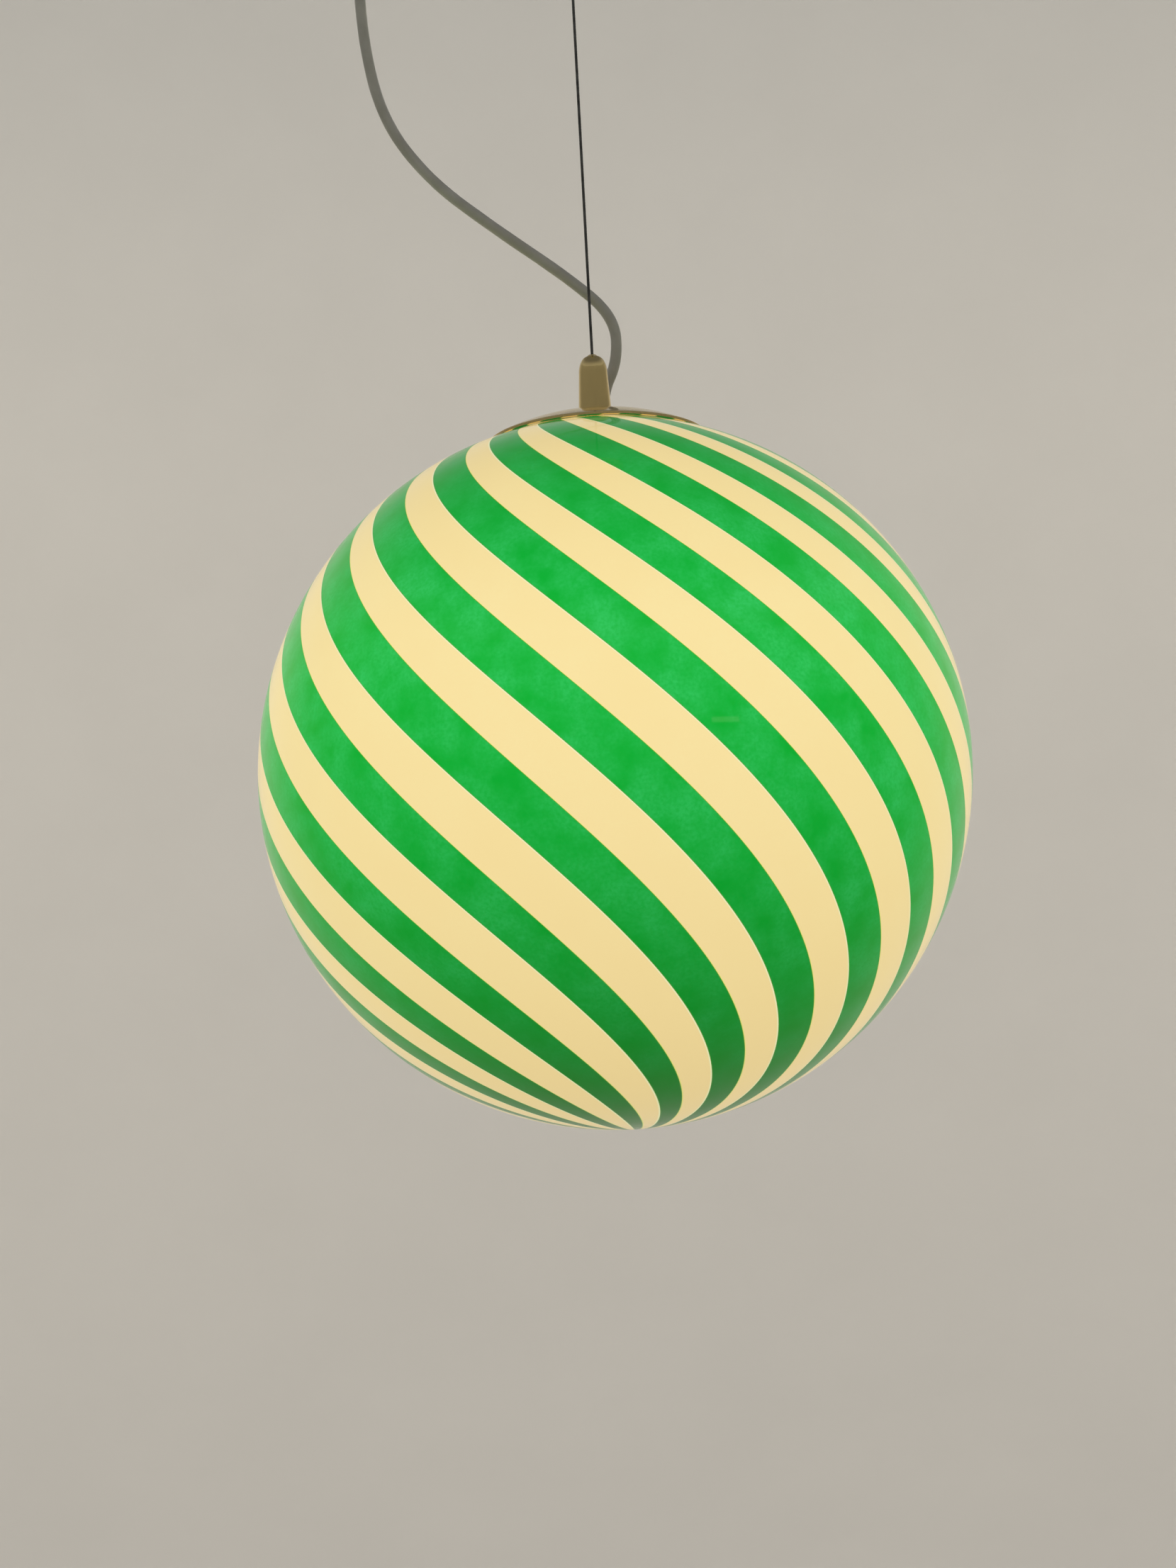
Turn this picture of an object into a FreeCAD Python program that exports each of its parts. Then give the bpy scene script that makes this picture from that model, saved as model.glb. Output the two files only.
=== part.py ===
import FreeCAD, Part
import math
import os

# A striped glass globe pendant lamp, in millimetres.
# Origin: centre of the ceiling bracket's top face. +Z is up, so the lamp hangs at negative Z.
# -Y is the front. The steel wire and the globe share the vertical axis x = 0, y = 0.

# ---------------------------------------------------------------- driving dimensions
GLOBE_RADIUS = 175.0
GLASS_WALL = 3.0
NECK_RADIUS = 45.0              # round opening in the top of the globe

DROP = 443.0                    # ceiling to the top of the globe's cap
CAP_RADIUS = 55.5
CAP_RISE = 13.7                 # height of the domed part above its lip
CAP_LIP = 1.5
CAP_WALL = 1.0
GASKET_LIFT = 0.8               # the gasket holds the lip this far off the glass
GASKET_WIDTH = 4.0
GASKET_HEIGHT = 3.0

WIRE_RADIUS = 0.75
WIRE_TAIL = 3.0                 # wire that stands out below the gripper's stud
FLEX_RADIUS = 2.85

STUD_RADIUS = 4.9               # M10 x 1 threads are drawn as plain cylinders
STUD_LENGTH = 37.0
NUT_ACROSS_FLATS = 14.0
NUT_HEIGHT = 4.0
WASHER_THICKNESS = 1.0
WASHER_RADIUS = 9.0

GRIPPER_BASE_RADIUS = 8.4
GRIPPER_NECK_RADIUS = 7.3       # just below its domed end
GRIPPER_HEIGHT = 30.4
GRIPPER_DOME = 9.0
GRIPPER_SEAT = 1.0              # the base reaches this far below the cap's top, cut to the dome
PLUNGER_RADIUS = 2.5
PLUNGER_SHOW = 1.0              # plunger standing out of the gripper's domed end
PLUNGER_TRAVEL = 1.5
COLLAR_RADIUS = 3.8
COLLAR_HEIGHT = 2.0
BALL_RADIUS = 1.2
BALL_COUNT = 3
SPRING_TURNS = 4
SPRING_WIRE_RADIUS = 0.35

CROSSBAR_WIDTH = 16.0
CROSSBAR_THICKNESS = 2.0
CROSSBAR_OVERLAP = 11.0         # how far each end reaches under the glass
PAD_RADIUS = 4.5
CROSSBAR_BELOW_NECK = 11.0      # crossbar's top face below the edge of the opening

STIRRUP_WIDTH = 34.0
STIRRUP_DEPTH = 16.0
STIRRUP_HEIGHT = 40.0
STIRRUP_THICKNESS = 2.0
NIPPLE_LENGTH = 18.0
NIPPLE_BORE = FLEX_RADIUS + 0.35

HOLDER_RADIUS = 19.0
HOLDER_WALL = 2.0
HOLDER_CAP_HEIGHT = 17.0
HOLDER_EDGE = 7.0               # outer radius of the holder cap's rounded edge
HOLDER_SKIRT_HEIGHT = 37.0
HOLDER_CORE_DISC = 7.0
SCREW_CAP_RADIUS = 12.7         # root of the lamp cap's rounded thread
THREAD_DEPTH = 0.5
THREAD_PITCH = 3.63
THREAD_TURNS = 5
THREAD_CLEARANCE = 0.35
SHELL_WALL = 0.4

BULB_RADIUS = 30.0
BULB_NECK_RADIUS = SCREW_CAP_RADIUS + 0.6
BULB_HOUSING_HEIGHT = 40.0
BULB_DOME_CUT = 14.0            # the opal dome starts this far above its own centre
BULB_WALL = 1.2
TIP_RADIUS = 4.75
TIP_HEIGHT = 1.5
INSULATOR_HEIGHT = 2.5

BUSH_X = 3.5                    # the flex leaves the cap behind the gripper
BUSH_Y = 18.0
BUSH_RADIUS = 4.5
BUSH_SHOW = 6.0                 # bush standing above the cap's top
BUSH_TIP_WALL = 1.0             # its wall where it tapers off
FLEX_IN_BUSH = 10.0             # the free flex starts this far inside the bush

CANOPY_RADIUS = 50.0
CANOPY_HEIGHT = 25.0
CANOPY_WALL = 1.0
CANOPY_EDGE = 6.0
CANOPY_GAP = 0.5                # rim to ceiling
BRACKET_WIDTH = 20.0
BRACKET_THICKNESS = 2.0
BRACKET_DROP = 14.0             # length of the turned-down ends
BRACKET_SLACK = 1.5             # bracket end to the inside of the cup
SLOT_SPACING = 60.0
SLOT_RADIUS = 2.25
SLOT_LENGTH = 14.0
SIDE_SCREW_Z = -8.0
SIDE_SCREW_RADIUS = 2.0
SIDE_SCREW_HEAD = 3.5

ANCHOR_RADIUS = 6.0
ANCHOR_FLANGE_RADIUS = 8.0
ANCHOR_FLANGE = 2.0
ANCHOR_LENGTH = 12.0            # below the cup
ANCHOR_STUD = 8.0               # above the cup's floor
WIRE_BALL_RADIUS = 2.5
BALL_SEAT_CLEARANCE = 0.05
MOUTH_ANGLE = 15.0              # half-angle of the anchor's flared mouth
PIVOT_ABOVE_MOUTH = 6.0

GRIP_X = -24.0                  # the flex enters the canopy here
GRIP_Y = 6.0
GRIP_RADIUS = 6.5
GRIP_DROP = 10.0                # cord grip standing below the cup
FLEX_IN_GRIP = 8.0              # the free flex ends this far inside the grip

TERMINAL_LENGTH = 30.0
TERMINAL_DEPTH = 15.0
TERMINAL_HEIGHT = 12.0
TERMINAL_PITCH = 10.0
TERMINAL_Y = -26.0
LEAD_RADIUS = 1.1
EARTH_SCREW_X = 14.0

FIT = 0.05                      # radial clearance of pieces that seat in one another
RUNNING = 0.05                  # radial clearance of pieces that slide
GLASS_GAP = 0.3                 # between the glass and the soft pieces that hold it

# The free flex from inside the cap's bush up into the canopy's cord grip: points chosen by hand.
FLEX_ROUTE = [
    (3.5, 18.0, -447.0),
    (3.5, 18.0, -428.5),
    (13.0, 18.0, -409.5),
    (12.5, 18.0, -386.0),
    (-10.0, 18.5, -364.0),
    (-47.0, 19.0, -335.0),
    (-80.0, 18.5, -307.0),
    (-103.0, 17.5, -273.0),
    (-111.5, 16.0, -228.0),
    (-112.0, 14.0, -178.0),
    (-93.0, 11.0, -129.0),
    (-53.0, 8.0, -92.0),
    (-24.0, 6.0, -62.0),
    (-24.0, 6.0, -27.0),
]

# ---------------------------------------------------------------- levels worked out from them
CAP_TOP = -DROP
LIP_TOP = CAP_TOP - CAP_RISE
LIP_BOTTOM = LIP_TOP - CAP_LIP
DOME_RADIUS = (CAP_RADIUS**2 + CAP_RISE**2) / (2 * CAP_RISE)
DOME_CENTRE = CAP_TOP - DOME_RADIUS
GLOBE_CENTRE = LIP_BOTTOM - GASKET_LIFT - math.sqrt(GLOBE_RADIUS**2 - CAP_RADIUS**2)
NECK_EDGE = GLOBE_CENTRE + math.sqrt(GLOBE_RADIUS**2 - NECK_RADIUS**2)
CROSSBAR_TOP = NECK_EDGE - CROSSBAR_BELOW_NECK
STIRRUP_TOP = CROSSBAR_TOP - CROSSBAR_THICKNESS
STIRRUP_BOTTOM = STIRRUP_TOP - STIRRUP_HEIGHT
HOLDER_TOP = STIRRUP_BOTTOM
SKIRT_TOP = HOLDER_TOP - HOLDER_CAP_HEIGHT
SKIRT_BOTTOM = SKIRT_TOP - HOLDER_SKIRT_HEIGHT
CORE_TOP = SKIRT_TOP - 1.0
CORE_FACE = CORE_TOP - HOLDER_CORE_DISC
CONTACT_THICKNESS = 0.6
TIP_TOP = CORE_FACE - CONTACT_THICKNESS - 0.4
SCREW_CAP_TOP = TIP_TOP - TIP_HEIGHT - INSULATOR_HEIGHT
SCREW_CAP_BOTTOM = SCREW_CAP_TOP - THREAD_TURNS * THREAD_PITCH
HOUSING_BOTTOM = SCREW_CAP_BOTTOM - BULB_HOUSING_HEIGHT
BULB_CENTRE = HOUSING_BOTTOM - BULB_DOME_CUT
CUP_FLOOR_BOTTOM = -CANOPY_GAP - CANOPY_HEIGHT
CUP_FLOOR_TOP = CUP_FLOOR_BOTTOM + CANOPY_WALL
PIVOT = CUP_FLOOR_BOTTOM - ANCHOR_LENGTH + PIVOT_ABOVE_MOUTH
STUD_BOTTOM = CAP_TOP - STUD_LENGTH
BUSH_TOP = CAP_TOP + BUSH_SHOW
GRIP_MOUTH = CUP_FLOOR_BOTTOM - GRIP_DROP + 0.5
UP = FreeCAD.Vector(0, 0, 1)

nodes = {}


# ---------------------------------------------------------------- helpers
def at(x, y, z):
    return FreeCAD.Vector(x, y, z)


def sphere_height(radius, centre, r):
    """Height of a sphere's upper side at distance r from the axis."""
    return centre + math.sqrt(radius**2 - r**2)


def lathe(*profile):
    """Turns a closed outline round Z. An entry is (r, z), or (r mid, z mid, r end, z end) for an arc."""
    first = at(profile[0][0], 0, profile[0][1])
    edges = []
    here = first
    for entry in profile[1:] + (profile[0],):
        end = at(entry[-2], 0, entry[-1])
        if here.distanceToPoint(end) > 1e-7:
            if len(entry) == 4:
                edges.append(Part.Arc(here, at(entry[0], 0, entry[1]), end).toShape())
            else:
                edges.append(Part.LineSegment(here, end).toShape())
        here = end
    face = Part.Face(Part.Wire(edges))
    return face.revolve(at(0, 0, 0), UP, 360)


def rod(radius, low, high, x=0.0, y=0.0):
    return Part.makeCylinder(radius, high - low, at(x, y, low), UP)


def tube(outer, inner, low, high, x=0.0, y=0.0):
    return rod(outer, low, high, x, y).cut(rod(inner, low - 1, high + 1, x, y))


def ball(radius, z, x=0.0, y=0.0):
    return Part.makeSphere(radius, at(x, y, z))


def block(x, y, z):
    """A box from three (low, high) pairs."""
    size = [high - low for low, high in (x, y, z)]
    return Part.makeBox(size[0], size[1], size[2], at(x[0], y[0], z[0]))


def hexagon(across_flats, low, high, bore, x=0.0, y=0.0):
    """A hexagon nut with a plain bore."""
    corner = across_flats / math.sqrt(3)
    points = []
    for i in range(7):
        angle = math.radians(60 * i)
        points.append(at(x + corner * math.cos(angle), y + corner * math.sin(angle), low))
    blank = Part.Face(Part.makePolygon(points)).extrude(at(0, 0, high - low))
    return blank.cut(rod(bore, low - 1, high + 1, x, y))


def cord(points, radius, name):
    """A round cord: straight runs joined by tangent arcs as large as the runs allow."""
    stops = [at(*p) for p in points]
    edges = []
    radii = []
    here = stops[0]
    for before, corner, after in zip(stops, stops[1:], stops[2:]):
        back = (before - corner).normalize()
        ahead = (after - corner).normalize()
        turn = math.pi - back.getAngle(ahead)
        reach = 0.45 * min(before.distanceToPoint(corner), after.distanceToPoint(corner))
        bend = reach / math.tan(turn / 2)
        start = corner + back * reach
        end = corner + ahead * reach
        inward = (back + ahead).normalize()
        middle = corner + inward * (bend / math.cos(turn / 2) - bend)
        edges.append(Part.LineSegment(here, start).toShape())
        edges.append(Part.Arc(start, middle, end).toShape())
        radii.append(bend)
        here = end
    edges.append(Part.LineSegment(here, stops[-1]).toShape())
    path = Part.Wire(edges)
    heading = (stops[1] - stops[0]).normalize()
    section = Part.Wire([Part.makeCircle(radius, stops[0], heading)])
    solid = path.makePipeShell([section], True, False)
    share = solid.Volume / (math.pi * radius**2 * path.Length)
    shown = ", ".join("%.1f" % r for r in radii)
    print("%s: length %.1f mm, volume share %.4f, arc radii %s" % (name, path.Length, share, shown))
    return solid


def node(name, shape):
    nodes[name] = shape


# ---------------------------------------------------------------- canopy, fixed to the ceiling
def make_canopy():
    rim = -CANOPY_GAP
    inner = CANOPY_RADIUS - CANOPY_WALL
    edge_in = CANOPY_EDGE - CANOPY_WALL
    slope = math.sqrt(0.5)
    outer_mid = (CANOPY_RADIUS - CANOPY_EDGE * (1 - slope), CUP_FLOOR_BOTTOM + CANOPY_EDGE * (1 - slope))
    inner_mid = (inner - edge_in * (1 - slope), CUP_FLOOR_TOP + edge_in * (1 - slope))
    cup = lathe(
        (STUD_RADIUS + 0.1, CUP_FLOOR_BOTTOM),
        (CANOPY_RADIUS - CANOPY_EDGE, CUP_FLOOR_BOTTOM),
        outer_mid + (CANOPY_RADIUS, CUP_FLOOR_BOTTOM + CANOPY_EDGE),
        (CANOPY_RADIUS, rim),
        (inner, rim),
        (inner, CUP_FLOOR_TOP + edge_in),
        inner_mid + (inner - edge_in, CUP_FLOOR_TOP),
        (STUD_RADIUS + 0.1, CUP_FLOOR_TOP),
    )
    cup = cup.cut(rod(4.1, CUP_FLOOR_BOTTOM - 1, CUP_FLOOR_TOP + 1, GRIP_X, GRIP_Y))
    hole = Part.makeCylinder(SIDE_SCREW_RADIUS + 0.2, 2 * CANOPY_RADIUS + 4)
    hole.rotate(at(0, 0, 0), at(0, 1, 0), 90)
    hole.translate(at(-CANOPY_RADIUS - 2, 0, SIDE_SCREW_Z))
    node("canopy_cup", cup.cut(hole))

    half = inner - BRACKET_SLACK
    strap = block((-half, half), (-BRACKET_WIDTH / 2, BRACKET_WIDTH / 2), (-BRACKET_THICKNESS, 0))
    screws = []
    for side in (-1, 1):
        x_end = sorted((side * half, side * (half - BRACKET_THICKNESS)))
        strap = strap.fuse(block(x_end, (-BRACKET_WIDTH / 2, BRACKET_WIDTH / 2), (-BRACKET_DROP, 0)))
        reach = SLOT_LENGTH / 2 - SLOT_RADIUS
        middle = side * SLOT_SPACING / 2
        across = (middle - reach, middle + reach)
        slot = block(across, (-SLOT_RADIUS, SLOT_RADIUS), (-BRACKET_THICKNESS - 1, 1))
        for end in (-reach, reach):
            slot = slot.fuse(rod(SLOT_RADIUS, -BRACKET_THICKNESS - 1, 1, middle + end))
        strap = strap.cut(slot)
        screws.append(side_screw(side, half - BRACKET_THICKNESS - 2))
    earth_hole = rod(1.7, -BRACKET_THICKNESS - 1, 1, EARTH_SCREW_X)
    strap = strap.cut(hole_along_x(SIDE_SCREW_RADIUS, half)).cut(earth_hole).removeSplitter()
    node("ceiling_bracket", strap)
    node("canopy_side_screws", Part.makeCompound(screws))


def hole_along_x(radius, half):
    cutter = Part.makeCylinder(radius, 2 * half + 2)
    cutter.rotate(at(0, 0, 0), at(0, 1, 0), 90)
    cutter.translate(at(-half - 1, 0, SIDE_SCREW_Z))
    return cutter


def side_screw(side, inner_end):
    """A slotted round-headed screw through the cup's wall into the bracket's end."""
    shank = Part.makeCylinder(SIDE_SCREW_RADIUS - FIT, CANOPY_RADIUS - inner_end, at(0, 0, inner_end), UP)
    head_low = CANOPY_RADIUS
    head = lathe(
        (0, head_low),
        (SIDE_SCREW_HEAD, head_low),
        (SIDE_SCREW_HEAD * 0.85, head_low + 1.5, 0, head_low + 2.2),
    )
    screw = shank.fuse(head)
    screw = screw.cut(block((-5, 5), (-0.4, 0.4), (head_low + 1.2, head_low + 3))).removeSplitter()
    screw.rotate(at(0, 0, 0), at(0, 1, 0), 90 * side)
    screw.translate(at(0, 0, SIDE_SCREW_Z))
    return screw


def make_anchor():
    """The brass wire anchor: a flanged stud with a ball seat and a flared mouth."""
    bottom = CUP_FLOOR_BOTTOM - ANCHOR_LENGTH
    flange_low = CUP_FLOOR_BOTTOM - ANCHOR_FLANGE
    top = CUP_FLOOR_TOP + ANCHOR_STUD
    body = lathe(
        (0, bottom),
        (ANCHOR_RADIUS - 2, bottom),
        (ANCHOR_RADIUS - 0.6, bottom + 0.6, ANCHOR_RADIUS, bottom + 2),
        (ANCHOR_RADIUS, flange_low),
        (ANCHOR_FLANGE_RADIUS, flange_low),
        (ANCHOR_FLANGE_RADIUS, CUP_FLOOR_BOTTOM),
        (STUD_RADIUS, CUP_FLOOR_BOTTOM),
        (STUD_RADIUS, top),
        (0, top),
    )
    seat = WIRE_BALL_RADIUS + BALL_SEAT_CLEARANCE
    neck = WIRE_RADIUS + 0.3
    depth = PIVOT - bottom + 1
    wide = neck + depth * math.tan(math.radians(MOUTH_ANGLE))
    flare = Part.makeCone(wide, neck, depth, at(0, 0, bottom - 1), UP)
    body = body.cut(rod(seat, PIVOT, top + 1)).cut(ball(seat, PIVOT)).cut(flare)
    node("wire_anchor", body)
    node("wire_ball", ball(WIRE_BALL_RADIUS, PIVOT))
    nut_top = CUP_FLOOR_TOP + NUT_HEIGHT
    node("anchor_nut", hexagon(NUT_ACROSS_FLATS, CUP_FLOOR_TOP, nut_top, STUD_RADIUS + FIT))


def make_cord_grip():
    """The white cord grip that holds the flex in the canopy, and its nut inside."""
    mouth = GRIP_MOUTH
    shoulder = CUP_FLOOR_BOTTOM - 4
    body = lathe(
        (FLEX_RADIUS + FIT, mouth),
        (GRIP_RADIUS - 2.2, mouth),
        (GRIP_RADIUS - 0.8, mouth + 1.2, GRIP_RADIUS - 0.5, shoulder),
        (GRIP_RADIUS, shoulder),
        (GRIP_RADIUS, CUP_FLOOR_BOTTOM),
        (4.0, CUP_FLOOR_BOTTOM),
        (4.0, CUP_FLOOR_TOP + 6),
        (FLEX_RADIUS + FIT, CUP_FLOOR_TOP + 6),
    )
    body.translate(at(GRIP_X, GRIP_Y, 0))
    node("canopy_cord_grip", body)
    nut = hexagon(12.0, CUP_FLOOR_TOP, CUP_FLOOR_TOP + 3, 4.0 + FIT, GRIP_X, GRIP_Y)
    node("canopy_grip_nut", nut)
    node("flex_in_canopy", rod(FLEX_RADIUS, GRIP_MOUTH + FLEX_IN_GRIP, CUP_FLOOR_TOP + 7, GRIP_X, GRIP_Y))


def make_terminals():
    """The three-way terminal block on the cup's floor, its screws and the leads to it."""
    low = CUP_FLOOR_TOP
    high = low + TERMINAL_HEIGHT
    front = TERMINAL_Y - TERMINAL_DEPTH / 2
    back = TERMINAL_Y + TERMINAL_DEPTH / 2
    body = block((-TERMINAL_LENGTH / 2, TERMINAL_LENGTH / 2), (front, back), (low, high))
    clamps = []
    screws = []
    bore_z = low + 5
    for way in (-1, 0, 1):
        x = way * TERMINAL_PITCH
        through = Part.makeCylinder(2.6, TERMINAL_DEPTH + 2, at(x, front - 1, bore_z), at(0, 1, 0))
        body = body.cut(through)
        clamp = Part.makeCylinder(2.5, TERMINAL_DEPTH - 2, at(x, front + 1, bore_z), at(0, 1, 0))
        clamp = clamp.cut(Part.makeCylinder(1.5, TERMINAL_DEPTH, at(x, front, bore_z), at(0, 1, 0)))
        for side in (-1, 1):
            y = TERMINAL_Y + side * TERMINAL_DEPTH / 4
            body = body.cut(rod(1.8, bore_z, high + 1, x, y))
            clamp = clamp.cut(rod(1.35, bore_z, bore_z + 4, x, y))
            screw = rod(1.3, bore_z + 1.6, high - 1, x, y)
            screws.append(screw.cut(block((x - 2, x + 2), (y - 0.3, y + 0.3), (high - 2, high))))
        clamps.append(clamp)
    node("terminal_block", body)
    node("terminal_clamps", Part.makeCompound(clamps))
    node("terminal_screws", Part.makeCompound(screws))

    start_z = CUP_FLOOR_TOP + 7
    for name, way, offset in (("neutral_lead", -1, -1.3), ("live_lead", 0, 1.3)):
        x = way * TERMINAL_PITCH
        route = [
            (GRIP_X + offset, GRIP_Y, start_z),
            (GRIP_X + offset, GRIP_Y, start_z + 6),
            ((GRIP_X + x) / 2 - 3 + 2 * offset, -6.0, start_z + 6),
            (x, back + 5.5, bore_z),
            (x, back - 3.5, bore_z),
        ]
        node(name, cord(route, LEAD_RADIUS, name))
    head = rod(3.2, -BRACKET_THICKNESS - 3.3, -BRACKET_THICKNESS - 1.0, EARTH_SCREW_X)
    earth = head.fuse(rod(1.65, -BRACKET_THICKNESS - 1.5, 0, EARTH_SCREW_X)).removeSplitter()
    node("earth_screw", earth)
    node("earth_washer", tube(4.0, 1.75, -BRACKET_THICKNESS - 1.0, -BRACKET_THICKNESS, EARTH_SCREW_X))


# ---------------------------------------------------------------- wire and flex
def make_suspension():
    wire_end = STUD_BOTTOM - WIRE_TAIL
    node("suspension_wire", rod(WIRE_RADIUS, wire_end, PIVOT - WIRE_BALL_RADIUS - FIT))
    node("flex_cord", cord(FLEX_ROUTE, FLEX_RADIUS, "flex_cord"))


# ---------------------------------------------------------------- cap of the globe
def make_cap():
    inner_dome = DOME_RADIUS - CAP_WALL
    inner_rim = CAP_RADIUS - CAP_WALL
    bore = STUD_RADIUS + 0.1
    middle = CAP_RADIUS / 2
    shell = lathe(
        (bore, sphere_height(DOME_RADIUS, DOME_CENTRE, bore)),
        (middle, sphere_height(DOME_RADIUS, DOME_CENTRE, middle), CAP_RADIUS, LIP_TOP),
        (CAP_RADIUS, LIP_BOTTOM),
        (inner_rim, LIP_BOTTOM),
        (inner_rim, sphere_height(inner_dome, DOME_CENTRE, inner_rim)),
        (
            middle,
            sphere_height(inner_dome, DOME_CENTRE, middle),
            bore,
            sphere_height(inner_dome, DOME_CENTRE, bore),
        ),
    )
    node("cap", shell.cut(rod(BUSH_RADIUS - 1 + FIT, CAP_TOP - 8, CAP_TOP + 2, BUSH_X, BUSH_Y)))

    ring = tube(inner_rim - FIT, inner_rim - GASKET_WIDTH, LIP_BOTTOM - 2, LIP_BOTTOM + GASKET_HEIGHT)
    ring = ring.common(ball(inner_dome - 0.02, DOME_CENTRE))
    node("glass_gasket", ring.cut(ball(GLOBE_RADIUS + GLASS_GAP, GLOBE_CENTRE)))


def make_bush():
    """The white tapered bush that the flex comes out of, shaped to the dome, and its clip below the cap."""
    bore = FLEX_RADIUS + FIT
    shank = BUSH_RADIUS - 1
    tip = bore + BUSH_TIP_WALL
    dome_here = sphere_height(DOME_RADIUS, DOME_CENTRE, math.hypot(BUSH_X, BUSH_Y))
    collar = lathe(
        (bore, dome_here - 2),
        (BUSH_RADIUS, dome_here - 2),
        (BUSH_RADIUS, dome_here + 2),
        (tip, BUSH_TOP - 0.6),
        (tip - 0.2, BUSH_TOP - 0.2, tip - 0.6, BUSH_TOP),
        (bore, BUSH_TOP),
    )
    collar.translate(at(BUSH_X, BUSH_Y, 0))
    collar = collar.cut(ball(DOME_RADIUS, DOME_CENTRE))
    neck = tube(shank, bore, dome_here - 6, dome_here + 0.5, BUSH_X, BUSH_Y)
    node("flex_bush", collar.fuse(neck).removeSplitter())
    clip = tube(BUSH_RADIUS + 1, shank + FIT, dome_here - 5.5, dome_here, BUSH_X, BUSH_Y)
    node("flex_bush_clip", clip.common(ball(DOME_RADIUS - CAP_WALL, DOME_CENTRE)))


def make_globe():
    inner = GLOBE_RADIUS - GLASS_WALL
    glass = lathe(
        (NECK_RADIUS, NECK_EDGE),
        (GLOBE_RADIUS, GLOBE_CENTRE, 0, GLOBE_CENTRE - GLOBE_RADIUS),
        (0, GLOBE_CENTRE - inner),
        (inner, GLOBE_CENTRE, NECK_RADIUS, sphere_height(inner, GLOBE_CENTRE, NECK_RADIUS)),
    )
    node("glass_globe", glass)


# ---------------------------------------------------------------- wire gripper
def make_gripper():
    base = CAP_TOP
    top = base + GRIPPER_HEIGHT
    dome_low = top - GRIPPER_DOME
    bore = PLUNGER_RADIUS + RUNNING
    collar_top = base + 10
    chamber_low = base + 2
    ball_level = base + 15
    chamber = COLLAR_RADIUS + 0.4
    cone_top = base + 19
    body = lathe(
        (0, base - GRIPPER_SEAT),
        (GRIPPER_BASE_RADIUS - 0.2, base - GRIPPER_SEAT),
        (GRIPPER_BASE_RADIUS, base + 0.6),
        (GRIPPER_NECK_RADIUS, dome_low),
        (GRIPPER_NECK_RADIUS - 1.9, top - 2.4, bore + 0.2, top),
        (0, top),
    )
    body = body.cut(ball(DOME_RADIUS, DOME_CENTRE))
    body = body.fuse(rod(STUD_RADIUS, STUD_BOTTOM, base + 0.5)).removeSplitter()
    hollow = lathe(
        (0, chamber_low),
        (chamber, chamber_low),
        (chamber, collar_top),
        (bore + 0.4, cone_top),
        (bore, cone_top + 1),
        (bore, top + 1),
        (0, top + 1),
    )
    body = body.cut(hollow).cut(rod(WIRE_RADIUS + 0.4, STUD_BOTTOM - 1, chamber_low + 1))
    node("gripper_body", body)

    plunger = rod(PLUNGER_RADIUS, collar_top - COLLAR_HEIGHT, top + PLUNGER_SHOW)
    plunger = plunger.makeFillet(0.6, [plunger.Edges[0]])
    plunger = plunger.fuse(rod(COLLAR_RADIUS, collar_top - COLLAR_HEIGHT, collar_top)).removeSplitter()
    plunger = plunger.cut(rod(WIRE_RADIUS + 0.2, base, top + 5))
    balls = []
    orbit = WIRE_RADIUS + BALL_RADIUS + RUNNING
    for i in range(BALL_COUNT):
        angle = 2 * math.pi * i / BALL_COUNT + math.pi / 2
        x = orbit * math.cos(angle)
        y = orbit * math.sin(angle)
        outward = at(math.cos(angle), math.sin(angle), 0)
        plunger = plunger.cut(Part.makeCylinder(BALL_RADIUS + FIT, 6, at(0, 0, ball_level), outward))
        balls.append(ball(BALL_RADIUS, ball_level, x, y))
    node("gripper_plunger", plunger)
    node("gripper_balls", Part.makeCompound(balls))
    node("gripper_spring", make_spring(chamber_low, collar_top - COLLAR_HEIGHT))


def make_spring(low, high):
    """A round-wire compression spring standing between two faces."""
    coil = COLLAR_RADIUS - 0.9
    room = high - low - 2 * SPRING_WIRE_RADIUS - 0.1
    helix = Part.makeHelix(room / SPRING_TURNS, room, coil)
    section = Part.Wire([Part.makeCircle(SPRING_WIRE_RADIUS, at(coil, 0, 0), at(0, 1, 0))])
    spring = Part.Wire(helix).makePipeShell([section], True, True)
    spring.translate(at(0, 0, low + SPRING_WIRE_RADIUS + 0.05))
    return spring


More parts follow.
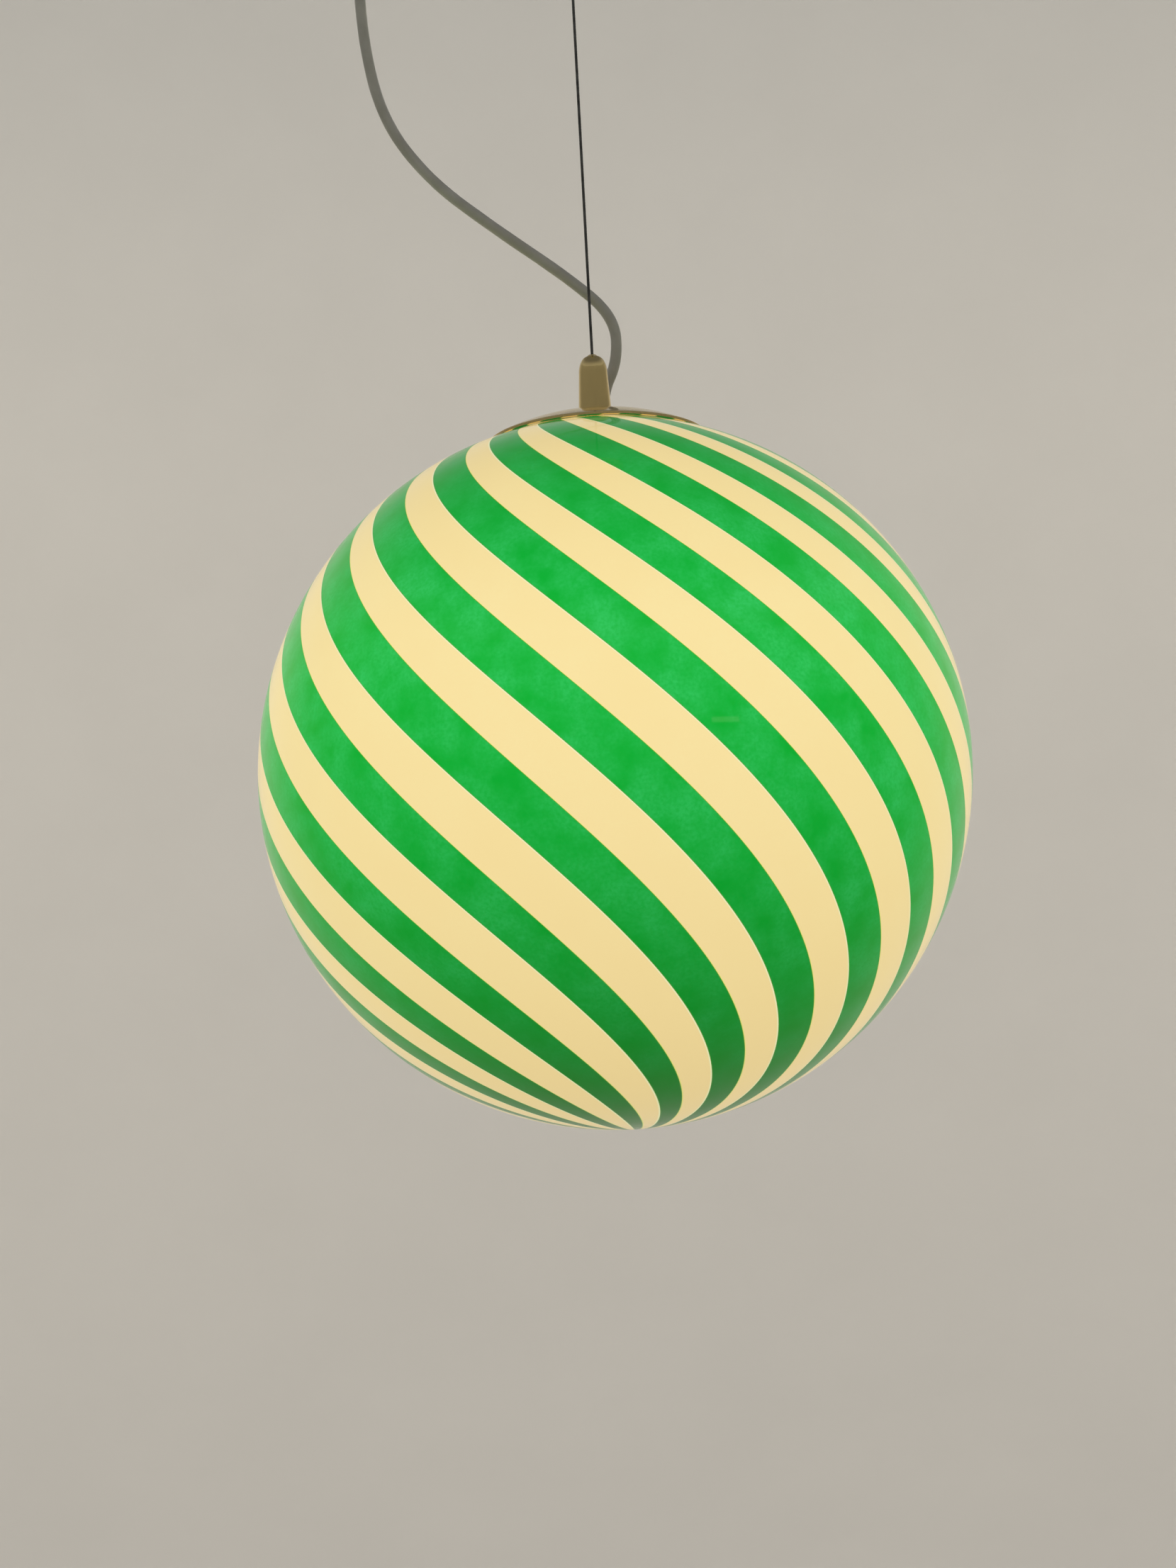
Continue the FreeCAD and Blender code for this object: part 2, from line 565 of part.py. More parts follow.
# ---------------------------------------------------------------- what holds the globe and the lampholder
def make_hangers():
    edge = math.sqrt((GLOBE_RADIUS - GLASS_WALL)**2 - (CROSSBAR_TOP - GLOBE_CENTRE)**2)
    half = NECK_RADIUS + CROSSBAR_OVERLAP
    depth = CROSSBAR_WIDTH / 2
    bar = block((-half, half), (-depth, depth), (STIRRUP_TOP, CROSSBAR_TOP))
    corner_cut = tube(half + 20, half - 0.5, STIRRUP_TOP - 1, CROSSBAR_TOP + 1)
    bar = bar.cut(corner_cut).cut(rod(STUD_RADIUS + 0.2, STIRRUP_TOP - 1, CROSSBAR_TOP + 1))
    node("crossbar", bar)
    pads = []
    pad_x = half - PAD_RADIUS - 1.5
    under_glass = ball(GLOBE_RADIUS - GLASS_WALL - GLASS_GAP, GLOBE_CENTRE)
    for side in (-1, 1):
        pad = rod(PAD_RADIUS, CROSSBAR_TOP, CROSSBAR_TOP + 12, side * pad_x)
        pads.append(pad.common(under_glass))
    node("crossbar_pads", Part.makeCompound(pads))
    print("crossbar: glass stands at radius %.1f on its level, bar ends at %.1f" % (edge, half))

    outer = STIRRUP_WIDTH / 2
    inner = outer - STIRRUP_THICKNESS
    y = (-STIRRUP_DEPTH / 2, STIRRUP_DEPTH / 2)
    stirrup = block((-outer, outer), y, (STIRRUP_BOTTOM, STIRRUP_TOP))
    window_z = (STIRRUP_BOTTOM + STIRRUP_THICKNESS, STIRRUP_TOP - STIRRUP_THICKNESS)
    stirrup = stirrup.cut(block((-inner, inner), (y[0] - 1, y[1] + 1), window_z))
    stirrup = stirrup.cut(rod(STUD_RADIUS + 0.2, STIRRUP_BOTTOM - 1, STIRRUP_TOP + 1))
    node("stirrup", stirrup)

    washer_top = STIRRUP_TOP - STIRRUP_THICKNESS
    nut_top = washer_top - WASHER_THICKNESS
    node("stud_washer", tube(WASHER_RADIUS, STUD_RADIUS + 0.2, nut_top, washer_top))
    node("stud_nut", hexagon(NUT_ACROSS_FLATS, nut_top - NUT_HEIGHT, nut_top, STUD_RADIUS + FIT))

    nipple_top = STIRRUP_BOTTOM + STIRRUP_THICKNESS + NUT_HEIGHT + 1
    node("holder_nipple", tube(STUD_RADIUS, NIPPLE_BORE, nipple_top - NIPPLE_LENGTH, nipple_top))
    nut_low = STIRRUP_BOTTOM + STIRRUP_THICKNESS
    node("nipple_nut", hexagon(NUT_ACROSS_FLATS, nut_low, nut_low + NUT_HEIGHT, STUD_RADIUS + FIT))

    tail = [
        (BUSH_X, BUSH_Y, BUSH_TOP - FLEX_IN_BUSH),
        (BUSH_X, BUSH_Y, nipple_top + 24),
        (0.0, 0.0, nipple_top + 8),
        (0.0, 0.0, nipple_top - NIPPLE_LENGTH),
    ]
    node("flex_tail", cord(tail, FLEX_RADIUS, "flex_tail"))


# ---------------------------------------------------------------- lampholder
def thread_outline(root, low, turns, depth):
    """Points up a rounded thread's side, as rings."""
    points = []
    for i in range(turns):
        z = low + i * THREAD_PITCH
        points.append((root, z))
        points.append((root + depth, z + THREAD_PITCH / 2, root, z + THREAD_PITCH))
    return points


def make_lampholder():
    inner = HOLDER_RADIUS - HOLDER_WALL
    top_hole = STUD_RADIUS + FIT
    shoulder = HOLDER_TOP - HOLDER_EDGE
    centre = HOLDER_RADIUS - HOLDER_EDGE
    out_45 = HOLDER_EDGE * math.sqrt(0.5)
    in_45 = (HOLDER_EDGE - HOLDER_WALL) * math.sqrt(0.5)
    boss = STUD_RADIUS + HOLDER_WALL
    boss_low = HOLDER_TOP - 9
    top = lathe(
        (top_hole, HOLDER_TOP),
        (centre, HOLDER_TOP),
        (centre + out_45, shoulder + out_45, HOLDER_RADIUS, shoulder),
        (HOLDER_RADIUS, SKIRT_TOP),
        (inner, SKIRT_TOP),
        (inner, shoulder),
        (centre + in_45, shoulder + in_45, centre, HOLDER_TOP - HOLDER_WALL),
        (boss, HOLDER_TOP - HOLDER_WALL),
        (boss, boss_low),
        (top_hole, boss_low),
    )
    node("lampholder_cap", top)
    node("lampholder_skirt", tube(HOLDER_RADIUS, inner, SKIRT_BOTTOM, SKIRT_TOP))

    shell_root = SCREW_CAP_RADIUS + THREAD_CLEARANCE
    core_bore = shell_root + THREAD_DEPTH + SHELL_WALL + FIT
    core = rod(inner - FIT, SKIRT_BOTTOM + 1.5, CORE_TOP)
    core = core.cut(rod(core_bore, SKIRT_BOTTOM, CORE_FACE))
    core = core.cut(rod(3.6, CORE_FACE - 1, CORE_TOP + 1, 9.5, 0)).cut(rod(1.6, CORE_FACE - 1, CORE_TOP + 1))
    node("lampholder_core", core)

    low = SCREW_CAP_BOTTOM + THREAD_PITCH
    high = SCREW_CAP_TOP
    inside = thread_outline(shell_root, low, THREAD_TURNS - 1, THREAD_DEPTH)
    outside = shell_root + THREAD_DEPTH + SHELL_WALL
    shell = lathe(*inside, (outside, high), (outside, low))
    node("lampholder_thread_shell", shell)

    strip = block((-2.5, 2.5), (-9, 9), (CORE_FACE - CONTACT_THICKNESS, CORE_FACE))
    rivet = rod(1.5, CORE_FACE - CONTACT_THICKNESS, CORE_TOP)
    node("lampholder_contact", strip.fuse(rivet).removeSplitter())


# ---------------------------------------------------------------- light bulb
def make_bulb():
    node("bulb_tip", rod(TIP_RADIUS, TIP_TOP - TIP_HEIGHT, TIP_TOP))
    insulator_low = TIP_TOP - TIP_HEIGHT - INSULATOR_HEIGHT
    insulator_place = at(0, 0, insulator_low)
    insulator = Part.makeCone(SCREW_CAP_RADIUS - 1.5, TIP_RADIUS + 1, INSULATOR_HEIGHT, insulator_place, UP)
    node("bulb_insulator", insulator)
    side = thread_outline(SCREW_CAP_RADIUS, SCREW_CAP_BOTTOM, THREAD_TURNS, THREAD_DEPTH)
    wall = SCREW_CAP_RADIUS - SHELL_WALL
    screw_cap = lathe(*side, (wall, SCREW_CAP_TOP), (wall, SCREW_CAP_BOTTOM))
    lid = rod(wall, SCREW_CAP_TOP - SHELL_WALL, SCREW_CAP_TOP)
    node("bulb_screw_cap", screw_cap.fuse(lid).removeSplitter())

    rim = math.sqrt(BULB_RADIUS**2 - BULB_DOME_CUT**2)
    neck_low = SKIRT_BOTTOM - 1.5
    waist = (neck_low + HOUSING_BOTTOM) / 2
    housing = lathe(
        (0, SCREW_CAP_BOTTOM),
        (BULB_NECK_RADIUS, SCREW_CAP_BOTTOM),
        (BULB_NECK_RADIUS, neck_low),
        (BULB_NECK_RADIUS + 0.38 * (rim - BULB_NECK_RADIUS), waist, rim, HOUSING_BOTTOM),
        (rim - BULB_WALL, HOUSING_BOTTOM),
        (rim - BULB_WALL - 2, HOUSING_BOTTOM + 4),
        (0, HOUSING_BOTTOM + 4),
    )
    node("bulb_housing", housing)
    board_radius = rim - BULB_WALL - 3
    node("bulb_led_board", rod(board_radius, HOUSING_BOTTOM + 2.4, HOUSING_BOTTOM + 4))
    inner = BULB_RADIUS - BULB_WALL
    inner_rim = math.sqrt(inner**2 - BULB_DOME_CUT**2)
    dome = lathe(
        (rim, HOUSING_BOTTOM),
        (BULB_RADIUS, BULB_CENTRE, 0, BULB_CENTRE - BULB_RADIUS),
        (0, BULB_CENTRE - inner),
        (inner, BULB_CENTRE, inner_rim, HOUSING_BOTTOM),
    )
    node("bulb_dome", dome)


make_canopy()
make_anchor()
make_cord_grip()
make_terminals()
make_suspension()
make_cap()
make_bush()
make_globe()
make_gripper()
make_hangers()
make_lampholder()
make_bulb()

os.makedirs("parts", exist_ok=True)
for name, shape in nodes.items():
    solids = shape.Solids
    assert solids and shape.isValid(), name
    body = solids[0] if len(solids) == 1 else Part.makeCompound(solids)
    body.exportStep("parts/%s.step" % name)
heights = (GLOBE_CENTRE, PIVOT, BULB_CENTRE)
print("%d nodes; globe centre %.2f, pivot %.2f, bulb centre %.2f" % (len(nodes), *heights))
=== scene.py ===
"""Looks of a striped glass globe pendant lamp, hung by a steel rope and gripper below a brass canopy.

Everything is in metres in the frame's own axes: +Z up, -Y the front, the ceiling at z = 0.
"""

import logging
import math
import random
from abc import ABC, abstractmethod
from collections.abc import Callable, Iterable, Sequence
from dataclasses import dataclass, field
from enum import Enum
from typing import Any

import bmesh
import bpy
from mathutils import Matrix, Vector


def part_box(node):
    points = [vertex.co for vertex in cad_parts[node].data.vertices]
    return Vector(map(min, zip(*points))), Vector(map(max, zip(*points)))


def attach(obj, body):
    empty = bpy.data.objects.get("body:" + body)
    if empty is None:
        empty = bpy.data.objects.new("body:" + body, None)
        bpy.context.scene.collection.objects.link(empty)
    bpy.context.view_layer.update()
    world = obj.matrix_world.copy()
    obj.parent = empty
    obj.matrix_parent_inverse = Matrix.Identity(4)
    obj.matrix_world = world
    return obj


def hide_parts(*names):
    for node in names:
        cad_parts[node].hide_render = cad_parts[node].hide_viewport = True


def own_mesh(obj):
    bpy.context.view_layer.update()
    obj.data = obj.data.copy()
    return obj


LOG = logging.getLogger("lamp")

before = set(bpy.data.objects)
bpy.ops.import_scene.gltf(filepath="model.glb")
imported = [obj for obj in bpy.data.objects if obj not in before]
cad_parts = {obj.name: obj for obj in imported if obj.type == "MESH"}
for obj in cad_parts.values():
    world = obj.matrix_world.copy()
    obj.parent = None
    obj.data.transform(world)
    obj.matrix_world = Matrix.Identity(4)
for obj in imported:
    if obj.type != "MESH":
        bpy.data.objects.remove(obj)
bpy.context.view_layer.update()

MM = 0.001
Outline = list[tuple[float, float]]
Corner = tuple[float, ...]


class Body(Enum):
    """The moving bodies of the lamp that new pieces ride on."""

    CEILING = "ceiling_fixing"
    SUSPENSION = "suspension"
    LAMP = "lamp"
    GLOBE = "globe"


class Slot(Enum):
    """The record's material slots, one passed with each new piece."""

    BRASS = "polished_brass"
    ROPE = "steel_rope"
    FLEX = "white_flex"
    NYLON = "white_nylon"
    GLASS = "striped_glass"
    STEEL = "hard_steel"


class Grain(Enum):
    """How the fine texture of a surface was made."""

    FINE = "ShaderNodeTexNoise"
    TURNED = "ShaderNodeTexWave"
    CRYSTAL = "ShaderNodeTexVoronoi"


# ---------------------------------------------------------------- shader helpers
MIX_A, MIX_B, MIX_RESULT = 6, 7, 2      # colour sockets of a Mix node
WAVE_PERIOD = math.pi / 10              # period of a wave texture at scale 1


def linear(colour: str) -> tuple[float, float, float, float]:
    """Turns an sRGB hex colour into linear light.

    Args:
        colour: "#RRGGBB".

    Returns:
        Linear red, green and blue, and an alpha of 1.
    """
    parts = [int(colour[i:i + 2], 16) / 255 for i in (1, 3, 5)]
    red, green, blue = (c / 12.92 if c <= 0.04045 else ((c + 0.055) / 1.055) ** 2.4 for c in parts)
    return red, green, blue, 1.0


def per_size(size: float) -> float:
    """Scale of a noise or cell pattern whose features are this large, in metres."""
    return 1.0 / size


def add_node(
    tree: bpy.types.NodeTree,
    kind: str,
    inputs: dict[str | int, Any] | None = None,
    **settings: Any,
) -> bpy.types.Node:
    """Adds a node with its settings and links.

    Args:
        tree: The node tree it goes in.
        kind: The node's type.
        inputs: Input name or number to a constant, or to the output that is linked to it.
        **settings: The node's own properties.

    Returns:
        The new node.
    """
    node = tree.nodes.new(kind)
    for name, value in settings.items():
        setattr(node, name, value)
    for key, value in (inputs or {}).items():
        if isinstance(value, bpy.types.NodeSocket):
            tree.links.new(value, node.inputs[key])
        else:
            node.inputs[key].default_value = value
    return node


# ---------------------------------------------------------------- finishes
@dataclass(frozen=True)
class Finish(ABC):
    """A surface finish, built once as a node material.

    Attributes:
        name: The material's name.
        colour: Its main colour.
        tone: The second colour that clouds drift towards.
        cloud: Size of the clouds, in metres.
    """

    name: str
    colour: str
    tone: str
    cloud: float

    def material(self) -> bpy.types.Material:
        """The finish as a material, made the first time it is asked for."""
        found = bpy.data.materials.get(self.name)
        if found is not None:
            return found
        made = bpy.data.materials.new(self.name)
        made.use_nodes = True
        tree = made.node_tree
        place = add_node(tree, "ShaderNodeTexCoord").outputs["Object"]
        self.shade(tree, tree.nodes["Principled BSDF"], place)
        made.diffuse_color = linear(self.colour)
        return made

    @abstractmethod
    def shade(self, tree: bpy.types.NodeTree, shader: bpy.types.Node, place: bpy.types.NodeSocket) -> None:
        """Wires the finish's patterns into its shader.

        Args:
            tree: The material's node tree.
            shader: Its Principled shader.
            place: The surface point, in metres.
        """

    def clouds(self, tree: bpy.types.NodeTree, place: bpy.types.NodeSocket) -> bpy.types.NodeSocket:
        """Soft uneven clouds of the finish's own size.

        Args:
            tree: The material's node tree.
            place: The surface point, in metres.

        Returns:
            A value from 0 to 1.
        """
        noise = add_node(
            tree, "ShaderNodeTexNoise", {"Vector": place, "Scale": per_size(self.cloud), "Detail": 4.0}
        )
        spread = add_node(
            tree, "ShaderNodeMapRange", {"Value": noise.outputs["Fac"], "From Min": 0.32, "From Max": 0.68}
        )
        return spread.outputs["Result"]

    def two_tone(
        self, tree: bpy.types.NodeTree, shader: bpy.types.Node, clouds: bpy.types.NodeSocket
    ) -> None:
        """Mixes the finish's two colours by its clouds and feeds the shader's base colour."""
        mixed = add_node(
            tree,
            "ShaderNodeMix",
            {0: clouds, MIX_A: linear(self.colour), MIX_B: linear(self.tone)},
            data_type="RGBA",
        )
        tree.links.new(mixed.outputs[MIX_RESULT], shader.inputs["Base Color"])


@dataclass(frozen=True)
class Textured(Finish):
    """A finish whose gloss and fine relief come from one texture.

    Attributes:
        gloss: Lowest and highest roughness.
        grain: How its fine texture was made.
        pitch: Size of the fine texture, in metres.
        relief: Height of the fine texture, in metres.
    """

    gloss: tuple[float, float]
    grain: Grain
    pitch: float
    relief: float

    def texture(self, tree: bpy.types.NodeTree, place: bpy.types.NodeSocket) -> bpy.types.NodeSocket:
        """The finish's fine texture.

        Args:
            tree: The material's node tree.
            place: The surface point, in metres.

        Returns:
            A value from about 0 to 1.
        """
        if self.grain is Grain.TURNED:
            wave = add_node(
                tree,
                self.grain.value,
                {"Vector": place, "Scale": WAVE_PERIOD / self.pitch, "Distortion": 0.6},
                wave_type="RINGS",
                rings_direction="Z",
            )
            return wave.outputs["Fac"]
        scaled = add_node(tree, self.grain.value, {"Vector": place, "Scale": per_size(self.pitch)})
        return scaled.outputs["Fac" if self.grain is Grain.FINE else "Distance"]

    def surface(
        self,
        tree: bpy.types.NodeTree,
        shader: bpy.types.Node,
        place: bpy.types.NodeSocket,
        clouds: bpy.types.NodeSocket,
    ) -> None:
        """Lets clouds and texture set the roughness and the texture set the relief."""
        texture = self.texture(tree, place)
        both = add_node(tree, "ShaderNodeMath", {0: clouds, 1: texture}, operation="MULTIPLY")
        low, high = self.gloss
        rough = add_node(
            tree, "ShaderNodeMapRange", {"Value": both.outputs[0], "To Min": low, "To Max": high}
        )
        bump = add_node(tree, "ShaderNodeBump", {"Distance": self.relief, "Height": texture})
        tree.links.new(rough.outputs["Result"], shader.inputs["Roughness"])
        tree.links.new(bump.outputs["Normal"], shader.inputs["Normal"])


@dataclass(frozen=True)
class Metal(Textured):
    """A bare or plated metal; its index of refraction stays at the default."""

    def shade(self, tree: bpy.types.NodeTree, shader: bpy.types.Node, place: bpy.types.NodeSocket) -> None:
        """Wires a metal with drifting tone and textured gloss."""
        clouds = self.clouds(tree, place)
        shader.inputs["Metallic"].default_value = 1.0
        self.two_tone(tree, shader, clouds)
        self.surface(tree, shader, place, clouds)


@dataclass(frozen=True)
class Moulding(Textured):
    """A moulded, glazed or extruded non-metal.

    Attributes:
        ior: Index of refraction.
        glow: Depth to which light soaks in, in metres; 0 leaves the surface opaque.
        clear: Share of light that passes through.
    """

    ior: float = 1.5
    glow: float = 0.0
    clear: float = 0.0

    def shade(self, tree: bpy.types.NodeTree, shader: bpy.types.Node, place: bpy.types.NodeSocket) -> None:
        """Wires a plastic, rubber or glaze with its own depth and gloss."""
        clouds = self.clouds(tree, place)
        shader.inputs["IOR"].default_value = self.ior
        shader.inputs["Transmission Weight"].default_value = self.clear
        if self.glow:
            shader.inputs["Subsurface Weight"].default_value = 0.3
            shader.inputs["Subsurface Radius"].default_value = (1.0, 0.9, 0.8)
            shader.inputs["Subsurface Scale"].default_value = self.glow
        self.two_tone(tree, shader, clouds)
        self.surface(tree, shader, place, clouds)


@dataclass(frozen=True)
class LitGlass(Finish):
    """Coloured glass cased in clear glass, lit from inside by the bulb; the glow is painted on as emission,
    with painted shade by height.

    Attributes:
        upper: Its glow at the neck, dimmed there as painted shade.
        lower: Its glow at the bottom, dimmed there as painted shade; colour is its glow where it is
            brightest.
        unlit: Its colour when the bulb is off.
        drift: How far the clouds take the glow towards tone, from 0 to 1.
        seeds: Size of the fine unevenness of the glass, in metres.
        casing: Colour of the clear casing, which deepens where it is seen aslant.
        peak: Height of the brightest level above the middle, as a share of the globe's radius.
        fall: Power by which the painted shade deepens from there towards the neck and the bottom.
        strength: Emission strength that makes up for what the casing takes away.
        body: Roughness, specular level and index of refraction of the coloured glass.
        coat: Weight, roughness and index of refraction of the casing.
    """

    upper: str
    lower: str
    unlit: str
    drift: float
    seeds: float = 1.6 * MM
    casing: str = "#F0F4EC"
    peak: float = 0.25
    fall: float = 1.6
    strength: float = 1.06
    body: tuple[float, float, float] = (0.35, 0.15, 1.52)
    coat: tuple[float, float, float] = (0.7, 0.04, 1.45)

    def shade(self, tree: bpy.types.NodeTree, shader: bpy.types.Node, place: bpy.types.NodeSocket) -> None:
        """Wires the glow with painted shade by height, the clouds in the colour layer and the glossy casing.
        """
        low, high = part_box("glass_globe")
        radius = (high.x - low.x) / 2
        middle = low.z + radius
        height = add_node(tree, "ShaderNodeSeparateXYZ", {"Vector": place}).outputs["Z"]
        brightest = middle + self.peak * radius
        seeds = add_node(
            tree, "ShaderNodeTexNoise", {"Vector": place, "Scale": per_size(self.seeds), "Detail": 3.0}
        )
        clouds = self.clouds(tree, place)
        uneven = add_node(tree, "ShaderNodeMath", {0: clouds, 1: seeds.outputs["Fac"]}, operation="MULTIPLY")
        share = add_node(
            tree, "ShaderNodeMapRange", {"Value": uneven.outputs[0], "From Max": 0.6, "To Max": self.drift}
        )
        glow = add_node(
            tree,
            "ShaderNodeMix",
            {0: share.outputs["Result"], MIX_A: linear(self.colour), MIX_B: linear(self.tone)},
            data_type="RGBA",
        ).outputs[MIX_RESULT]
        # Painted shade: the glow dims from its brightest level towards the neck and the bottom.
        for end, colour in ((middle - radius, self.lower), (middle + radius, self.upper)):
            away = add_node(
                tree, "ShaderNodeMapRange", {"Value": height, "From Min": brightest, "From Max": end}
            )
            share = add_node(
                tree, "ShaderNodeMath", {0: away.outputs["Result"], 1: self.fall}, operation="POWER"
            )
            glow = add_node(
                tree,
                "ShaderNodeMix",
                {0: share.outputs[0], MIX_A: glow, MIX_B: linear(colour)},
                data_type="RGBA",
            ).outputs[MIX_RESULT]
        tree.links.new(glow, shader.inputs["Emission Color"])
        rough, specular, ior = self.body
        coat, coat_rough, coat_ior = self.coat
        constants = {
            "Emission Strength": self.strength,
            "Base Color": linear(self.unlit),
            "Roughness": rough,
            "Specular IOR Level": specular,
            "IOR": ior,
            "Coat Weight": coat,
            "Coat Roughness": coat_rough,
            "Coat IOR": coat_ior,
            "Coat Tint": linear(self.casing),
        }
        for socket, value in constants.items():
            shader.inputs[socket].default_value = value


# Lacquered polished brass: mirror-like, a little deeper in tone where the polish thinned.
POLISHED_BRASS = Metal(
    "polished_brass", "#C79A45", "#AD8034", 24 * MM, (0.10, 0.24), Grain.FINE, 0.9 * MM, 2e-6
)
# Turned brass as it leaves the lathe: fine rings that break up the shine.
TURNED_BRASS = Metal("turned_brass", "#C7A35C", "#A98747", 6 * MM, (0.26, 0.42), Grain.TURNED, 0.5 * MM, 8e-6)
# Zinc-plated steel: a cold grey with faint bluish crystals.
ZINC_STEEL = Metal(
    "zinc_plated_steel", "#B4B8BA", "#9CA5AE", 9 * MM, (0.30, 0.50), Grain.CRYSTAL, 3 * MM, 6e-6
)
# Drawn steel wires of the rope: dark grey with a dull shine along each wire.
ROPE_STEEL = Metal(
    "drawn_rope_steel", "#6C6C6A", "#4B4B4A", 5 * MM, (0.30, 0.46), Grain.FINE, 0.25 * MM, 8e-6
)
# Ground and hardened steel of balls and spring: bright with a fine grind.
HARD_STEEL = Metal("ground_steel", "#A9AAAC", "#8D8E92", 2 * MM, (0.14, 0.26), Grain.FINE, 0.3 * MM, 2e-6)
# Nickel plating of the bulb's screw cap: bright, faintly warm.
NICKEL = Metal("nickel_plate", "#BDB8AE", "#A7A297", 5 * MM, (0.16, 0.30), Grain.FINE, 0.6 * MM, 3e-6)
# White painted aluminium of the bulb's board: even and dull.
BOARD = Metal("painted_aluminium", "#D8D8D6", "#C9CACA", 4 * MM, (0.45, 0.6), Grain.FINE, 0.5 * MM, 3e-6)
# Extruded PVC flex: smooth white sheath with a soft shine and slight waviness.
PVC = Moulding(
    "white_pvc_sheath", "#DEDCD2", "#CFCDC1", 14 * MM, (0.30, 0.44), Grain.FINE, 1.8 * MM, 2e-5, 1.53
)
# Moulded nylon of grip, bush and lampholder: white with a fine eroded texture.
NYLON = Moulding(
    "white_moulded_nylon", "#E3E1D8", "#D6D3C8", 5 * MM, (0.40, 0.58), Grain.FINE, 0.4 * MM, 1.2e-5, 1.53
)
# Insulation of the two cores: smooth and glossy.
BLUE_CORE = Moulding(
    "blue_core_pvc", "#1F4E9E", "#1A4388", 4 * MM, (0.26, 0.38), Grain.FINE, 0.8 * MM, 8e-6, 1.53
)
BROWN_CORE = Moulding(
    "brown_core_pvc", "#5A3320", "#4A2919", 4 * MM, (0.26, 0.38), Grain.FINE, 0.8 * MM, 8e-6, 1.53
)
# Clear silicone of gasket and pads: milky, rubbery, and letting light through.
SILICONE = Moulding(
    "clear_silicone", "#DDDDD4", "#CFCFC4", 3 * MM, (0.35, 0.5), Grain.FINE, 0.8 * MM, 1e-5, 1.41, 1 * MM, 0.6
)
# Glazed porcelain of the lampholder's core: hard white gloss over a fine body.
PORCELAIN = Moulding(
    "glazed_porcelain", "#E9E5DA", "#DED9CC", 6 * MM, (0.08, 0.2), Grain.FINE, 1.5 * MM, 6e-6, 1.5
)
# Fused black glass around the bulb's tip: almost black, wet-looking.
VITRITE = Moulding(
    "black_vitrite", "#121214", "#1B1B1F", 2 * MM, (0.06, 0.18), Grain.FINE, 0.8 * MM, 8e-6, 1.55
)
# Smooth polycarbonate of the bulb's housing.
HOUSING = Moulding(
    "bulb_polycarbonate", "#E6E6E2", "#DCDCD8", 8 * MM, (0.2, 0.32), Grain.FINE, 0.9 * MM, 6e-6, 1.58
)
# Frosted opal polycarbonate of the bulb's dome: soft white that light soaks into.
FROSTED = Moulding(
    "frosted_opal_dome", "#F3ECDC", "#EBE3D0", 9 * MM, (0.5, 0.62), Grain.FINE, 0.3 * MM, 6e-6, 1.58, 2 * MM
)
# Seamless studio paper: pale and matt, with a trace of fibre.
PAPER = Moulding("studio_paper", "#DAD9D5", "#D8D7D3", 0.3, (0.8, 0.92), Grain.FINE, 2 * MM, 5e-6, 1.45)

# Green bars in the glass: light glows through them more or less as the bars vary in depth.
GREEN_GLASS = LitGlass(
    "green_cased_glass", "#00B434", "#2CC65C", 16 * MM, "#00802C", "#005A08", "#063A16", 1.0
)
# Opal between the bars: warm cream, nearly even.
CREAM_GLASS = LitGlass(
    "cream_opal_glass", "#FEE3A5", "#FFE8AC", 30 * MM, "#F2D69A", "#EACD93", "#5A543C", 0.5
)
# Painted highlights: thin pale and yellow lines where the bars meet the opal, for the light the casing
# gathers there.
PALE_HIGHLIGHT_EDGE = LitGlass("pale_highlight_glass_edge", "#F8F6C8", "#FBF9D2", 12 * MM, "#EEEABC", "#E6E2B4", "#5A5842", 0.4)
YELLOW_HIGHLIGHT_EDGE = LitGlass(
    "yellow_highlight_glass_edge", "#F6F08A", "#F9F296", 12 * MM, "#E8E080", "#DCD676", "#5A5730", 0.4
)
# The bars thin out at their edges, where the cream shows through as olive.
OLIVE_EDGE = LitGlass("olive_glass_edge", "#5E9A38", "#6FA53C", 12 * MM, "#3F7E22", "#47802A", "#27451A", 0.4)
# The inner opal layer, seen only from inside.
OPAL_GLASS = LitGlass("inner_opal_glass", "#EADFBE", "#F1E6C6", 26 * MM, "#E6DAB6", "#DCD0AC", "#8C8878", 0.3)


# ---------------------------------------------------------------- mesh helpers
def soften(corners: Sequence[Corner]) -> Outline:
    """Rounds the corners of an outline.

    Args:
        corners: (r, z) for a sharp corner or (r, z, radius) for a rounded one. The ends stay sharp.

    Returns:
        The outline with each round corner as an arc.
    """
    line: Outline = [corners[0][:2]]
    for before, corner, after in zip(corners, corners[1:], corners[2:]):
        here = Vector(corner[:2])
        back, ahead = Vector(before[:2]) - here, Vector(after[:2]) - here
        if len(corner) < 3 or min(back.length, ahead.length) < 1e-7:
            line.append(corner[:2])
            continue
        half = back.angle(ahead) / 2
        reach = min(corner[2] / math.tan(half), 0.48 * back.length, 0.48 * ahead.length)
        radius = reach * math.tan(half)
        inward = (back.normalized() + ahead.normalized()).normalized()
        centre = here + inward * radius / math.sin(half)
        first = here + back.normalized() * reach - centre
        last = here + ahead.normalized() * reach - centre
        turn = first.angle_signed(last)
        steps = max(2, math.ceil(abs(turn) / math.radians(12)))
        for i in range(steps + 1):
            spoke = Matrix.Rotation(-turn * i / steps, 2) @ first
            line.append(tuple(centre + spoke))
    line.append(corners[-1][:2])
    return line


def quarter(start: tuple[float, float], end: tuple[float, float], steps: int = 12) -> Outline:
    """A quarter ellipse that leaves start along z and reaches end along r.

    Args:
        start: (r, z) where the curve is upright.
        end: (r, z) where it is level.
        steps: Number of parts.

    Returns:
        The points from start to end.
    """
    wide, tall = start[0] - end[0], end[1] - start[1]
    turns = [math.pi / 2 * i / steps for i in range(steps + 1)]
    return [(end[0] + wide * math.cos(a), start[1] + tall * math.sin(a)) for a in turns]


